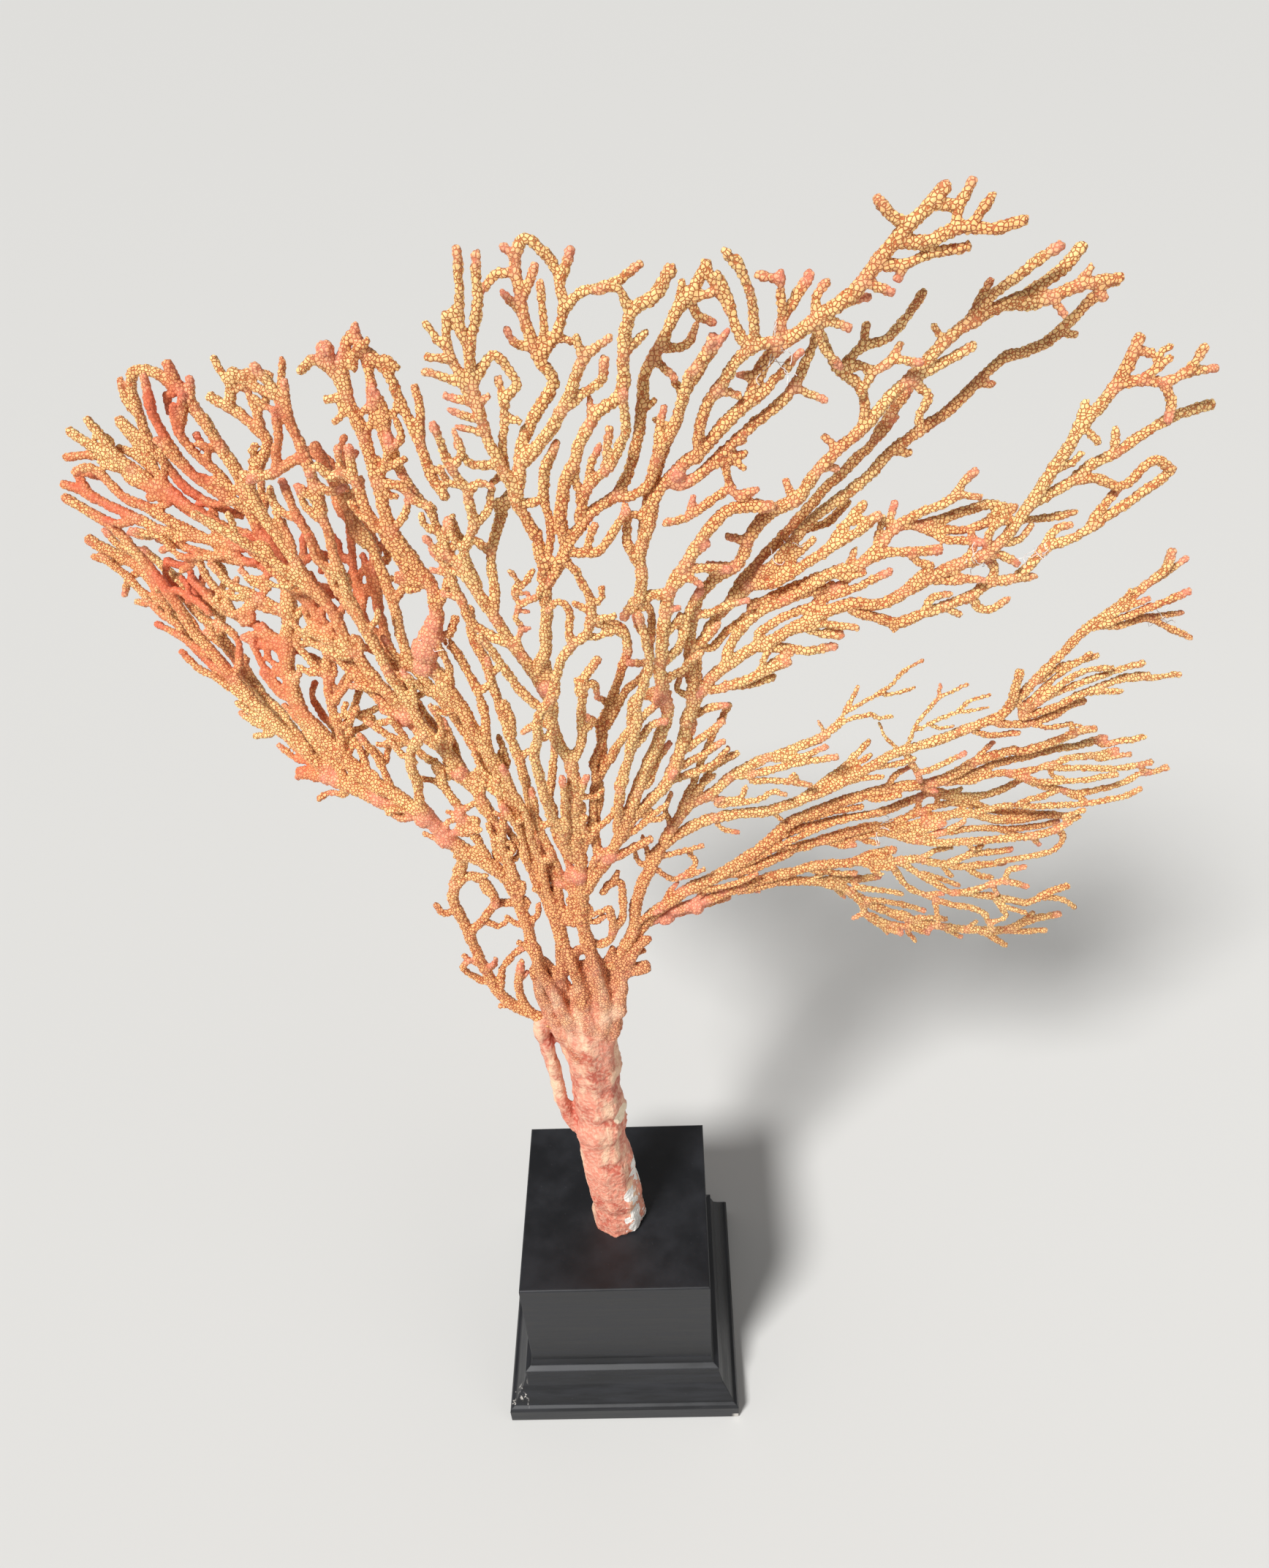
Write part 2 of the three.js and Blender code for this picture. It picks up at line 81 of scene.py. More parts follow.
def aim_camera():
    """A camera at the viewpoint, turned by the pitch, yaw and roll."""
    ahead = Vector((math.sin(YAW) * math.cos(PITCH), math.cos(YAW) * math.cos(PITCH), -math.sin(PITCH)))
    level = ahead.cross(Vector((0, 0, 1))).normalized()
    above = level.cross(ahead)
    lift = math.sin(ROLL) / above.z
    right = level * math.sqrt(1 - lift * lift) + above * lift
    up = right.cross(ahead)
    data = bpy.data.cameras.new("camera")
    data.sensor_width = SENSOR
    data.lens = FOCAL_PX / FRAME_HEIGHT_PX * SENSOR
    data.clip_start = 0.01
    camera = bpy.data.objects.new("camera", data)
    bpy.context.scene.collection.objects.link(camera)
    turn = Matrix((right, up, -ahead)).transposed()
    camera.matrix_world = Matrix.Translation(Vector(VIEWPOINT * MM)) @ turn.to_4x4()
    bpy.context.scene.camera = camera
    print("lens:", round(data.lens, 1), "mm")


aim_camera()

# %% [markdown]
# ## How a branch is written down
# There are about 600 branches, and each has its own bends. They could be grown by a rule, but a rule
# gives some other fan. So each is read where it crosses the fan's upright face, and written on one line:
# `radius at the root, radius at the tip, then across,up for each point`, in millimetres. A third number
# is the radius at that point. A first word such as `d-5` sets the branch 5 mm nearer. A line that
# starts with `+` carries on the line before it.

# %% Reading the lines
LIMBS = {}
BRANCHES = {}


def read_branch(line):
    """One line of a table: its depth, its points on the face and their radii."""
    words = line.split()
    depth = 0.0
    if words[0].startswith("d"):
        depth = float(words.pop(0)[1:])
    root, tip = float(words[0]), float(words[1])
    points = [[float(v) for v in word.split(",")] for word in words[2:]]
    share = np.linspace(0, 1, len(points))
    radii = [p[2] if len(p) == 3 else root + (tip - root) * s for p, s in zip(points, share)]
    return {"depth": depth, "route": np.array([p[:2] for p in points]), "radii": np.array(radii)}


def add_limb(name, parent, lean, table):
    """Keeps a limb's branches, what it forks from and how far it leans back for each millimetre of reach."""
    lines = table.strip().replace("\n+ ", " ").split("\n")
    LIMBS[name] = (parent, lean)
    BRANCHES[name] = [read_branch(line) for line in lines]
    print(name + ":", len(lines), "branches")

# %% [markdown]
# ## The trunk
# The trunk is several stems that have grown together under one bark, and near its top they part again.
# A lathed column would lose that, so the first line is the column and the others are stems that start
# inside it, some in front and some behind. A thin side stem runs up its left and leaves a slit between.

# %% The trunk
add_limb("trunk", "", 0.0, """
11.8 5 2,88.6,11.6 1.6,94,11.4 1,105,10.6 0,118,10.3 -1,130,10.3 -2,142,10.2 -2.2,155,9.9
+ -2.2,170,9.5 -2.6,185,9.6 -3,198,10 -3,210,9.8 -2.6,222,7.4 -2.4,232,4.5 -2.4,240,2.2
2.6 2.7 -11.5,150 -14,158 -16.2,171 -17.6,189 -19,202 -20,212
4.6 1.5 -7,184,2.5 -11,203 -14.5,214.8 -18,226 -19,238 -18,250
4.8 1.4 -4,184,2.5 -8.4,206 -10,223 -10.8,235 -9.6,246 -8.8,257
5 1.5 -1,184,2.5 -0.5,210 1,226 1.6,238 0.4,250 -1,260
5 1.6 -1,184,2.5 4,208 6.4,222 7.6,232 9.6,245
3.6 1.5 2,210 6,224 10,235 14.5,245 18,252
1.8 1.6 -14,236 -8,238.7 -4,249
2.6 2.5 7,233 12,237.5 18,239
d-6 3.4 1.3 -4,180,1.5 -8.6,208 -13,224 -17,238 -18.5,254
d-6.5 3.4 1.3 -2,182,1.5 -2.5,210 -5,228 -6,243 -9,258
d-6 3.4 1.3 0,184,1.5 2.6,212 2.4,230 0.6,246 -0.8,264
d-5 3.2 1.4 1,188,1.5 8,217 10,231 9.5,246
d6 3 1.4 -6,200 -8,218 -12,234 -17.6,250
d6 3 1.4 0,204 1,220 4,236 7.4,249
d4 2.3 1.3 -14,206 -16,220 -17,236 -18,250
1.6 1.3 10,243 15,248 20,252.5
""")

# %% [markdown]
# ## The wing on the left
# The left third of the fan is a crowded wing that bends back from the rest, with a ragged outer edge
# and twigs that curl into each other. It could be one flat net, but its layers cast shadows on each
# other, so it is cut into limbs that each lean back by their own amount.

# %% The loop on the left
add_limb("left_loop", "trunk", 0.1, """
3.4 2.8 -16,211 -22,216 -29,222 -33,229 -36,240 -38,250 -39,258 -41,266 -42,274 -41,281
2 1.8 -32,228 -31.5,234 -30,241 -26,246.5 -21,251
2 1.6 -35,234 -38,234.5 -41,238 -43.5,242 -41,245.5
2.4 2.2 -39,258 -34,264 -29,270.5 -24,271.5 -21,270
2.4 2.2 -41,279 -36,284 -31,281 -29,275 -29,271
2.6 2.2 -22,217 -25,223 -25.5,232 -24,241
1.6 1.4 -34,264 -29,261.5 -26,264
1.8 1.6 -42,269 -46,267.5 -48,271
1.6 1.4 -25.5,234 -22,238
1.5 1.3 -36,240 -33,243
1.5 1.3 -29,222 -33,221.5
""")

# %% The wing's stem
add_limb("wing_stem", "trunk", 0.12, """
3.4 4.4 -17.5,244 -19,252 -19.7,262 -21,271 -23,280 -28,288 -34,293 -40,300 -47,312
3 3 -39,299 -37,290 -41,281
2.6 2.2 -43,305 -46,313 -46,320 -47,330 -45.5,336 -42,340
2.2 2 -29,291 -32,301 -35,311 -38,320 -40,330
2.2 1.8 -20.5,276 -22,288 -24,297 -22.5,304 -22,311 -22.5,322
1.6 1.4 -33,303 -30,307 -35,308.4
1.6 1.4 -35,311 -30,313.5 -26.7,313.7
1.8 1.4 -47,311 -52,308.5 -55,309.5
1.8 1.5 -40,301 -36.5,304 -35,311
1.8 1.5 -38,320 -41,323 -45.5,324
1.6 1.4 -19.7,262 -16,265 -15,270
1.6 1.4 -45.5,330 -49,333 -51,338
""")

# %% The wing's outer edge, with its curling twigs
add_limb("wing_edge", "wing_stem", 0.6, """
4.6 3.2 -46,311 -53,312 -59,317 -66,322 -73,326.5 -79,328
3.2 2.2 -70,324 -75,332 -82,343 -88,353 -94,364 -99,374 -103,385 -105,395 -110,400 -116.5,405.5
2.8 2 -70,324 -78,338 -85,350 -91,362 -97,375 -101,389 -105,399 -111,410 -119,417
2.2 1.8 -69,326 -76,340 -83,353 -88,368 -94,383 -99,395 -104,402
2.6 1.8 -66.3,321 -68.7,330.6 -74.7,343 -76,355.7 -74.8,365.5 -72.3,372.5 -70,380.5 -69.2,390.5
+ -68,398 -69.8,404.3 -72.8,409.5
2 1.6 -82,344 -85,352 -90,362 -95,372 -98,382 -102,392
2 1.6 -76,336 -80,348 -86,360 -91,372 -95,384 -97,394
1.8 1.5 -88,353 -93,359 -99,365 -103,371
1.8 1.5 -96,370 -101,375 -107,380
1.8 1.5 -103,385 -108,390 -111.5,396 -115.5,401
1.7 1.4 -101,379 -105,383 -108,388
1.7 1.4 -82,343 -87,345 -92,350
1.7 1.4 -75,332 -80,333 -84,338
1.8 1.5 -73,326.5 -77,329 -81,326.5
1.8 1.4 -107,402 -110,404 -112,408
1.6 1.4 -86,368 -91,372 -95,377
1.6 1.4 -92,361 -89,366 -87,371
1.6 1.4 -99,390 -95,387 -92,383
1.6 1.4 -105,396 -110,394 -113,390
1.6 1.4 -66,322 -69,319 -72,320
2 1.7 -65.2,321 -64.7,329 -66.3,337.3 -66.3,347.7 -65,356.5 -63.8,365
1.7 1.5 -67,344 -69.2,349 -70.5,355 -69,359
1.7 1.5 -65,356.5 -65,364 -67.3,367.6 -70.8,370
1.7 1.5 -63.8,365 -60.6,370.8 -64.3,372.2
1.9 1.6 -65.3,339.9 -60.9,348.8 -57.6,355 -54.2,362
1.7 1.5 -88.3,366 -86.8,374.3 -89.6,379 -94.8,381.6 -98.5,389.5 -100.4,394.5 -98.7,398.7
1.6 1.5 -98.7,398.7 -95.3,397.5 -89,399.4 -85.9,396.6 -85.6,392.3 -88.9,389.1 -92.4,390.4 -90.3,394.6
1.6 1.4 -90,381.3 -92,384.8 -94.8,390.5 -94,395.3
1.7 1.4 -64.3,352.7 -61.5,358.8 -58.2,362.4 -53.4,361
1.7 1.4 -65.3,340 -61,342.3 -55.4,344.7 -49,345.7
1.7 1.5 -64.7,331 -62.8,327.6 -58.1,335.6 -54.6,331.4
1.6 1.4 -60.9,348.8 -56.7,348.6 -50,351
""")

# %% The middle of the wing
add_limb("wing_middle", "wing_stem", 0.42, """
4.2 3 -48,312 -54,318 -60,324 -66,333 -71,342 -75,352 -75.5,362 -74,372 -71,382 -69,393 -71,401 -73,407
2.2 1.8 -73,371 -79,377 -86,382 -91,387 -94,393
2.2 1.9 -66,333 -65.5,343 -66,352 -65,361 -63,371
2.6 1.8 -71,401 -80,402 -90,405.5 -98,407.5 -103,411 -108,414 -113,418 -118,421
2.2 1.7 -88,405 -96,411 -102,415 -106,419 -110,425 -114,424
2.6 1.9 -76,402 -86,411 -92,416 -98,422 -104,427 -109,431 -112,434
2.8 2 -79,405 -86,410 -91,415 -95,423 -97,430 -99,436
2 1.7 -100,424 -104,430 -107,436.5
1.9 1.6 -96,418 -101,421 -104,427 -109.5,428 -115,428
1.8 1.6 -95.4,423 -98,427 -101.4,429.5
1.8 1.6 -91,416 -94,421 -95,428 -98,434
1.8 1.5 -113,418 -114,424 -109,422.5
1.8 1.5 -90,406 -95,404 -99,402
2 1.6 -69,393 -76,397 -84,399 -92,402 -99,405
2 1.6 -71,382 -78,387 -84,391 -88,397
1.8 1.5 -74,372 -80,372 -85,375
1.8 1.5 -71,342 -76,346 -79,352
1.8 1.5 -75,352 -80,357 -83,363
1.8 1.5 -60,324 -60,332 -62,339
1.9 1.6 -66,352 -61,357 -58,363
1.7 1.4 -65,361 -69,366 -71,372
2 1.6 -69,393 -64,397 -62,404
2 1.6 -54,318 -55,326 -57,334 -60,340
1.8 1.5 -66,343 -62,346 -59,350
1.7 1.4 -98,408 -102,406 -106,407
1.7 1.5 -103,411 -107,409.5 -111,411
1.8 1.5 -71,401 -77,406 -83,408 -88,412
1.8 1.5 -86,382 -87,388 -90,394 -91,400
1.8 1.5 -78,387 -82,384 -84,380
1.8 1.5 -63,371 -66,378 -66,386
1.8 1.5 -84,399 -85,404 -82,409
1.6 1.4 -92,416 -96,414 -100,414
1.7 1.5 -70,380.5 -65.8,383.7 -61.7,384.6
1.7 1.5 -69.2,390.5 -65.8,388 -62.5,390 -57,389 -52.3,393
1.6 1.5 -69,394.7 -64,396.7 -60.7,398.7 -57.9,398.5 -59.7,394.4
1.6 1.4 -74,372.5 -67.5,375.8 -63.4,376.8
1.6 1.4 -74,373 -68.3,372.3 -61.9,374.4 -57.4,371.9
1.6 1.4 -75,365.5 -73.8,361.2 -71.7,363.6
1.7 1.5 -74.4,360 -77.2,372.7 -78.8,378.6
1.7 1.5 -75.5,353.3 -80.7,362.1 -83.2,373
1.6 1.4 -73,381.8 -77.9,384.2 -77.6,387.5 -74,390 -77.8,391 -80.5,395
1.6 1.4 -78,386 -82.6,383.3 -86.3,382.3 -86.1,386.8 -82.6,392.7
1.6 1.4 -80.3,400 -89,399.4 -95.4,400.2 -98.6,405.5 -102,407.2 -105.4,408
""")

# %% The wing's crest
add_limb("wing_crest", "wing_middle", 0.25, """
3 2 -73,406 -74,414 -74.5,422 -77,429 -80,437 -82.6,443 -84,449
2.2 1.8 -84,444 -88,447.5 -92.7,448 -94.5,441 -94,433 -91,423 -86,416 -77,411
2.2 1.8 -76,413 -82,418 -87,424 -89.5,431 -91,437 -91,443
1.8 1.6 -81,438 -80,445.5
1.8 1.5 -91.3,440 -90.5,446.5
1.8 1.5 -94.5,438 -96.5,441 -96.5,446
1.8 1.5 -94,431 -96.5,433 -98.5,436
1.9 1.6 -78,420 -83,426 -86,433 -86,439
1.8 1.5 -86,433 -84,438 -83,442
1.8 1.5 -74.5,417 -79,419 -83,421
1.8 1.6 -87,424 -90,428 -92,431
1.7 1.4 -77,429 -81,429 -82,432
1.7 1.4 -74,414 -70,417 -69,421
1.7 1.4 -82.6,443 -86,442 -87,438
""")

# %% The wing's inner side
add_limb("wing_inner", "wing_stem", 0.2, """
3.2 2.4 -22,284 -23,293 -24,302 -28,316 -34,330 -41,343 -49,355 -56,369 -60,383 -66,397 -71,411 -73,421
2.4 1.9 -72,420 -69,424 -65.5,429 -67.5,433 -71,437 -76,441
2 1.8 -72.5,438.5 -71,442 -69.5,447 -66,443.5 -61,440.5
2.6 1.9 -34,330 -42,341 -52,353 -57,361 -61,369 -64,381 -66,394
2.6 1.9 -31,321 -37,335 -43,348 -48,363 -52,377 -55,392 -56,408 -57,424 -58.5,433 -61,442 -64,447.5
2 1.8 -57,426 -61,424 -65,422 -72,420
2.4 1.8 -25,306 -28,317 -32,328 -37,339 -41,350 -45,364 -47,382
1.9 1.6 -65,422 -64,427 -62.5,431 -62,437
1.8 1.6 -66,432 -66,438 -67.5,443
1.8 1.6 -58.5,431 -59,438 -58,444
2.2 1.8 -47,382 -46,394 -45,404 -47,412 -49.6,417 -51.6,424 -56,426.5
1.8 1.6 -50,408 -52,413 -52,419
1.7 1.5 -49.9,422 -45.2,426
2.2 1.8 -52,353 -56,364 -60,374 -65,384 -71,393 -77,402
2.2 1.8 -60,383 -67,392 -74,400 -81,406 -88,411
2.2 1.7 -48,363 -51,375 -56,386 -59,397 -62,409 -64,419
2 1.6 -41,350 -46,361 -50,372 -52,384 -51,396 -50,408
1.9 1.6 -28,317 -34,324 -40,330 -46,337 -50,346
1.8 1.5 -40,342 -46,346 -52,349
1.8 1.5 -46,337 -52,341 -57,346
1.8 1.5 -52,384 -48,390 -48,398
1.8 1.5 -56,369 -61,375 -66,379
1.8 1.5 -55,392 -60,397 -61,404
1.8 1.5 -66,397 -66,404 -68,411
1.8 1.5 -56,408 -60,412 -61,418
1.7 1.4 -43,348 -42,356 -44,362
1.7 1.4 -61,369 -67,373 -71,379
1.7 1.4 -37,335 -36,343 -38,350
1.8 1.5 -33,328 -33,337 -35,345
1.8 1.5 -57,418 -53,416 -49.6,417
1.8 1.5 -49,355 -54,357 -59,358
1.8 1.5 -62,409 -67,412 -68,417
1.7 1.4 -71,411 -76,414 -79,414
2 1.6 -45,364 -48,373 -53,380 -58,388
1.8 1.5 -28,316 -26,325 -27,334
1.7 1.4 -63,376 -58,380 -56,385
1.7 1.4 -51,396 -55,400 -55,404
1.7 1.4 -46,394 -42,397 -42,402
""")

# %% [markdown]
# ## The middle and the crown
# The middle stands upright and is the most open part, so each fork is seen against what is behind it.
# Its limbs lean very little, and some come forward. The knots where branches have fused are added
# later.

# %% The shoulder
add_limb("shoulder", "trunk", 0.1, """
4.2 2.4 -8.6,253 -11,269 -13,286 -16,302 -20,318 -24,333 -29,348 -33,358 -37,367 -33,374 -31.5,380
+ -32,388 -35,396 -39.5,405 -41,418 -42,430 -44,440 -47,450.5
2.6 2.2 -16,302 -22,320 -28,337 -35,353 -40,362 -42,370 -43,384 -45,399 -50,413 -54,428
2 1.8 -46,446 -50,449 -53.3,447
2.2 1.8 -44,440 -43.5,449 -40,454 -38,448 -38,434 -34.5,420 -29,410
2.2 2 -38,450 -34,446 -32,439 -29,429 -27.5,420 -25,414
2.4 1.9 -36,390 -40,399 -44,409 -46,418 -46,427
1.8 1.6 -44.5,440 -48.6,439
1.9 1.6 -34.5,420 -36,430 -36,436 -37.5,441
1.8 1.6 -28.5,427 -27.4,435 -27.7,441
1.9 1.6 -41,418 -35.5,416.5 -32.8,413 -28,410.5
1.8 1.6 -40,453 -39,456
2.2 1.9 -37,369 -33,372 -29,374 -27,378
2.2 1.8 -31.5,382 -27.5,389 -26,398 -28,405 -29,411
2.2 1.8 -24,333 -23,344 -24,354 -26,362 -28,368 -32,374
2.2 1.9 -11,269 -15,281 -17,292 -18,303 -22,312
2 1.6 -32,388 -36,391 -40,392
2 1.6 -43,384 -39,389 -37,396
1.9 1.6 -45,399 -49,404 -50,410
1.8 1.5 -46,418 -49,421 -49,427
1.8 1.5 -52,420 -55,423 -57,421
1.8 1.5 -29,348 -33,351 -36,356
1.8 1.5 -20,318 -25,324 -28,332
1.8 1.5 -35,353 -39,356 -44,361
1.7 1.5 -42,430 -39,434 -38.5,439
1.9 1.6 -41,418 -38,423 -36,429
1.8 1.5 -40,362 -44,366 -47,373
2 1.6 -13,286 -17,290 -19,297 -22,305
1.8 1.5 -32,357 -31,364 -33,371
1.8 1.5 -22,320 -19,329 -20,338
1.8 1.5 -24,354 -20,358 -20,365
1.7 1.4 -39.5,405 -36,408 -34,414
1.7 1.4 -50,413 -47,416
1.7 1.4 -26,398 -23,402 -24,408
""")

# %% The centre
add_limb("centre", "trunk", -0.03, """
4 2.6 -1,249 -1,265 -0.6,279 0,290 -1,302 0,316 0,327 -4,338 -4,350 -7,359 -4,368 -2.4,380 -2,391 -3,402
2.6 2.2 -5,262 -8,270 -8.5,283 -12,299 -13.5,314 -15,330 -18,345 -20,360 -23,373 -23,381
2.8 2.2 -2,290 -5,300 -8,310 -9.5,322 -10.5,331 -8.7,338 -8,345 -4,351
2.4 2 0,328 3.5,335 4,343 4.7,350 6,357 10,363
2.4 1.8 -3,353 -1,362 3.5,369 8,373 9.2,382 6.5,391
2.2 1.8 -8,262 -10.5,270 -12,278 -12.5,288 -14.7,299 -15,308 -18,318 -20,327
2.2 1.8 -9,291 -10.5,298 -12,306 -12.6,318
1.8 1.6 -7,279 -7,286 -8.4,293
2.2 1.8 -4,262 -4,277 -4,288 -7,300 -7,309 -7,318 -5.5,327 -4,336
2 1.7 -4,300 -3,311 -3,322
2.2 1.8 1,290 -0.6,298 -1.3,306 0,316
2.2 1.8 1,293 4,304 5.4,312 6.6,321 6.7,328 9.5,335 9.9,340 6,344
1.8 1.6 0,314 1.8,316.5 4.3,322
1.8 1.6 3,297 6,302 10,306 13.5,311
2.4 2 0,252 4,251 8,254 8.5,261 8,267
1.8 1.6 0,262 3,261.5 5.7,264
2.2 1.8 8.5,257 12,263 12.5,272 12,279 8,278 6,275
1.7 1.6 9,278.5 11.3,283
1.8 1.5 4.7,354 8.5,356 9,352
1.8 1.6 3.5,369 2.8,374 3.5,379 1,382.5 -2,380
1.8 1.6 6.5,391 4,395 5,398
1.8 1.6 9,376.5 14,373.5 18,371 18.8,366
1.6 1.4 9,379 5.5,382
2 1.6 -4,341 -8,343 -12.2,340
1.8 1.5 -17,350 -15.5,345 -15.4,339.5
2.2 1.8 -8,349 -12,354 -15,360 -18,367 -21,372
1.7 1.4 -15,330 -11.5,333 -10.5,331
1.7 1.4 -20,360 -16,363 -15,360
1.6 1.4 -4,277 -7.5,279
1.6 1.4 -12,299 -9.5,296
""")

# %% The crown, left
add_limb("crown_left", "centre", 0.02, """
2.8 2 -7,358 -10,365 -14,372 -17,379 -21,388 -24,394 -27,399 -25,407
2.2 2 -17,378 -15.5,386 -15.5,396 -13,403 -10.6,408.7 -9,413
2.2 1.7 -20,388 -22,397 -19,405 -19,414 -22,421 -25,432
2.2 1.8 -13,370 -19,373 -23,377 -25,384 -27,392 -30,399
1.4 1.1 -10,366 -10.8,371 -9.6,375 -10.9,378 -9.4,382 -10.8,386 -9.4,389 -10.8,392
1.1 1 -9.4,380 -7.3,379.5
1.1 1 -10.3,385.6 -6.8,385.2
1.1 1 -10.3,373.5 -7.8,374.5
1.8 1.6 -15.5,398 -20,401 -22.8,396
1.8 1.6 -10.6,408.7 -12.5,411 -8,412.5
1.8 1.5 -28,397 -31.5,402
1.8 1.5 -24,394 -22,400 -24,407
1.8 1.5 -19,414 -16,417 -13,416
1.8 1.5 -19,405 -15,409 -13,415
1.7 1.4 -27,392 -31,393.5
1.7 1.4 -22,421 -19,425 -20,430
1.7 1.4 -25,384 -29,386
""")

# %% The crown's tip
add_limb("crown_tip", "centre", -0.06, """
2.6 1.8 -3,401 -6,408 -7.7,416 -10.8,423 -13,430 -14,438 -14,446 -12.5,454 -10.6,462 -9.6,470
2.6 1.7 -7,413 -5,422 -2,431 3,438 4.5,442 2,447 -0.5,454 -1,462 -1.2,469 1,473.5 4,471 7,467 8,462
2.8 2.1 -5,421 1.5,428 6,434 9,440 13,448
1.9 1.7 2,447 6,452 8.5,458 8,463 11,470
1.9 1.7 -14,450 -15.4,455 -14.2,462 -13.5,471
2 1.7 -14.5,437 -17.5,445 -18.5,450 -18,457.5
1.8 1.7 -14,441 -11,446 -8,448 -5,444 -4,440.5 -7,437 -8.3,430 -9,419
1.8 1.6 8,457 12,460.5 17,462 21,463 26,466.5
1.7 1.5 -18.5,450 -20.8,452 -23,455.6
1.7 1.5 -18,447.5 -23,448.5
1.7 1.5 -15,441 -21.5,444 -24.6,445
1.6 1.4 -14.5,437 -20.5,439
1.6 1.4 -14,433 -20,435.5
1.6 1.4 -13,429.5 -18.8,431.5
1.8 1.5 -11,421 -17.5,422 -20,427
1.7 1.5 -18,457 -15,459.5
1.7 1.5 -7.5,436.5 -8.3,442.5
1.6 1.4 -8,433.5 -4.6,432
1.6 1.4 -14,436 -11,438.5
1.6 1.5 0,461 2.7,467
1.7 1.5 -1.2,466 -5.4,466 -7.7,464 -10.4,462
1.6 1.4 -0.7,457 -4.6,462
1.6 1.4 1.2,449 -3,450.5 -4.6,453.5
1.7 1.5 2.6,446.5 3.6,454 3.8,463.5
1.6 1.4 5.7,451.5 10.2,450
1.8 1.6 -5,411 -1,412 0,418 2,423 3.8,426
1.6 1.4 -9,419 -13,416
1.7 1.5 12,446 11,451
1.7 1.5 12,446 15,448.5 18,450.5
1.9 1.6 6.9,435 11.5,438 16,441 17,445.5
1.5 1.4 -1,469 -3.5,471.5
1.6 1.4 -4.8,422 -1.5,424
""")

# %% The crown, right
add_limb("crown_right", "centre", -0.09, """
2.6 2.4 -3,386 1,392 4,398 3.5,407 5.4,416 8.5,422 11,428 15,434 20,437.5 21.5,445 21.5,451 24,457
+ 28.5,460 32,465
2.4 2.2 4.5,399 9,405 13,409 18,412.5 21,418 23.5,425 25,433 26,441 29.5,448 32.5,454 36.5,459.5
+ 40.5,465.5
1.9 1.8 8,406 12,415 16,419 19,424 21,429 21,438
1.9 1.7 -3,389 0,398 1,405 0,412 1,419 3.8,425
1.7 1.5 15.4,419 17,429
1.7 1.5 11,414 12,420.5 14.2,425
1.8 1.6 21.5,447 26.5,451.5
1.8 1.6 23,456 21,461.5 16,461.5
1.6 1.4 33.6,456 34.8,462
1.8 1.6 40.5,465 42.7,461 46,455
1.7 1.5 36,458.5 41.5,459.5
1.7 1.5 29.5,448 35.4,448.5 37.7,452
1.6 1.4 28,446 31.5,442.5 33,441
1.8 1.6 37,459 38.5,455 42,453
2 1.7 4,397 9,396.5 13,397 17,403 20,408
1.7 1.5 9.5,397 12,404
1.8 1.6 8,421 8.6,413 9,405
2.2 1.8 18,412 22,412 26,415 28,421 31.5,427 34.6,434 36,440 39.5,444.5 41.5,449
1.7 1.5 28,421 29,428 30.5,433.5
1.6 1.4 38,443 41,445.5 44,449.5
1.5 1.3 25,433 28,436
1.5 1.3 13,431 13,437
""")

# %% [markdown]
# ## The crest and the long limbs on the right
# On the right the limbs are long and nearly straight and run side by side, like fingers. The crest
# reaches highest. Each limb is its own piece, because two that only pass each other must not fuse.

# %% The stem on the right
add_limb("right_stem", "centre", -0.03, """
3.6 2.6 0,276 5,284 9,291 13,299 16,308 19,317 22,326 26,335 28.5,345 27.5,354 27.5,364 29,375 31,385
+ 35,392 38,398 42,403 47,407.5 56,407
2.4 2 5,283 5.5,293 5.5,303 7,313 8,323 9.5,333 9.5,341 12.5,348 16,358 18.5,366 17.5,373 10,376
2.4 1.8 12,301 13,311 15,321 17,331 20,341 21,350 24,360 23.5,370 22,377
2.2 2.2 31,384 26,383.5 21,381 18,377
2 1.7 16,306 20.5,310 25,314.5 28,318.5 30,323
1.8 1.6 12,296 18.4,302 22.6,306 28,311
2.2 1.8 10,290 17,294 22,297
2.2 1.8 8,323 12,330 15.6,336 18,340 22.5,345 26,348
1.8 1.6 18,341 18.8,349 22.7,352 26.5,353
2 1.7 13,318 16.3,327 19.5,334 24,340.5 28,342
2 1.6 9.9,339 13.7,346 17,352 21.4,357 24,361
2 1.7 27.8,362 32,366 34,372 36,379 38,384
1.8 1.6 24,361 24.7,368 22,373 21,377
1.8 1.6 25,369 25.3,378 22.7,382
1.8 1.6 31,385 35,388 38,386
1.8 1.6 28.5,378 32.5,379
1.7 1.5 23,362 18.5,362.5
1.8 1.6 1.8,282 4,289 7.5,292
1.8 1.6 28,356 33,359 35,362 38,364.5
1.8 1.6 36,393.5 40,397.5
1.8 1.6 34,390.5 40,391 45.8,390
1.8 1.6 19,317 22.5,320 25,327 29,334
1.6 1.4 5.5,303 2.5,307
1.6 1.4 13,348 9.5,351
""")

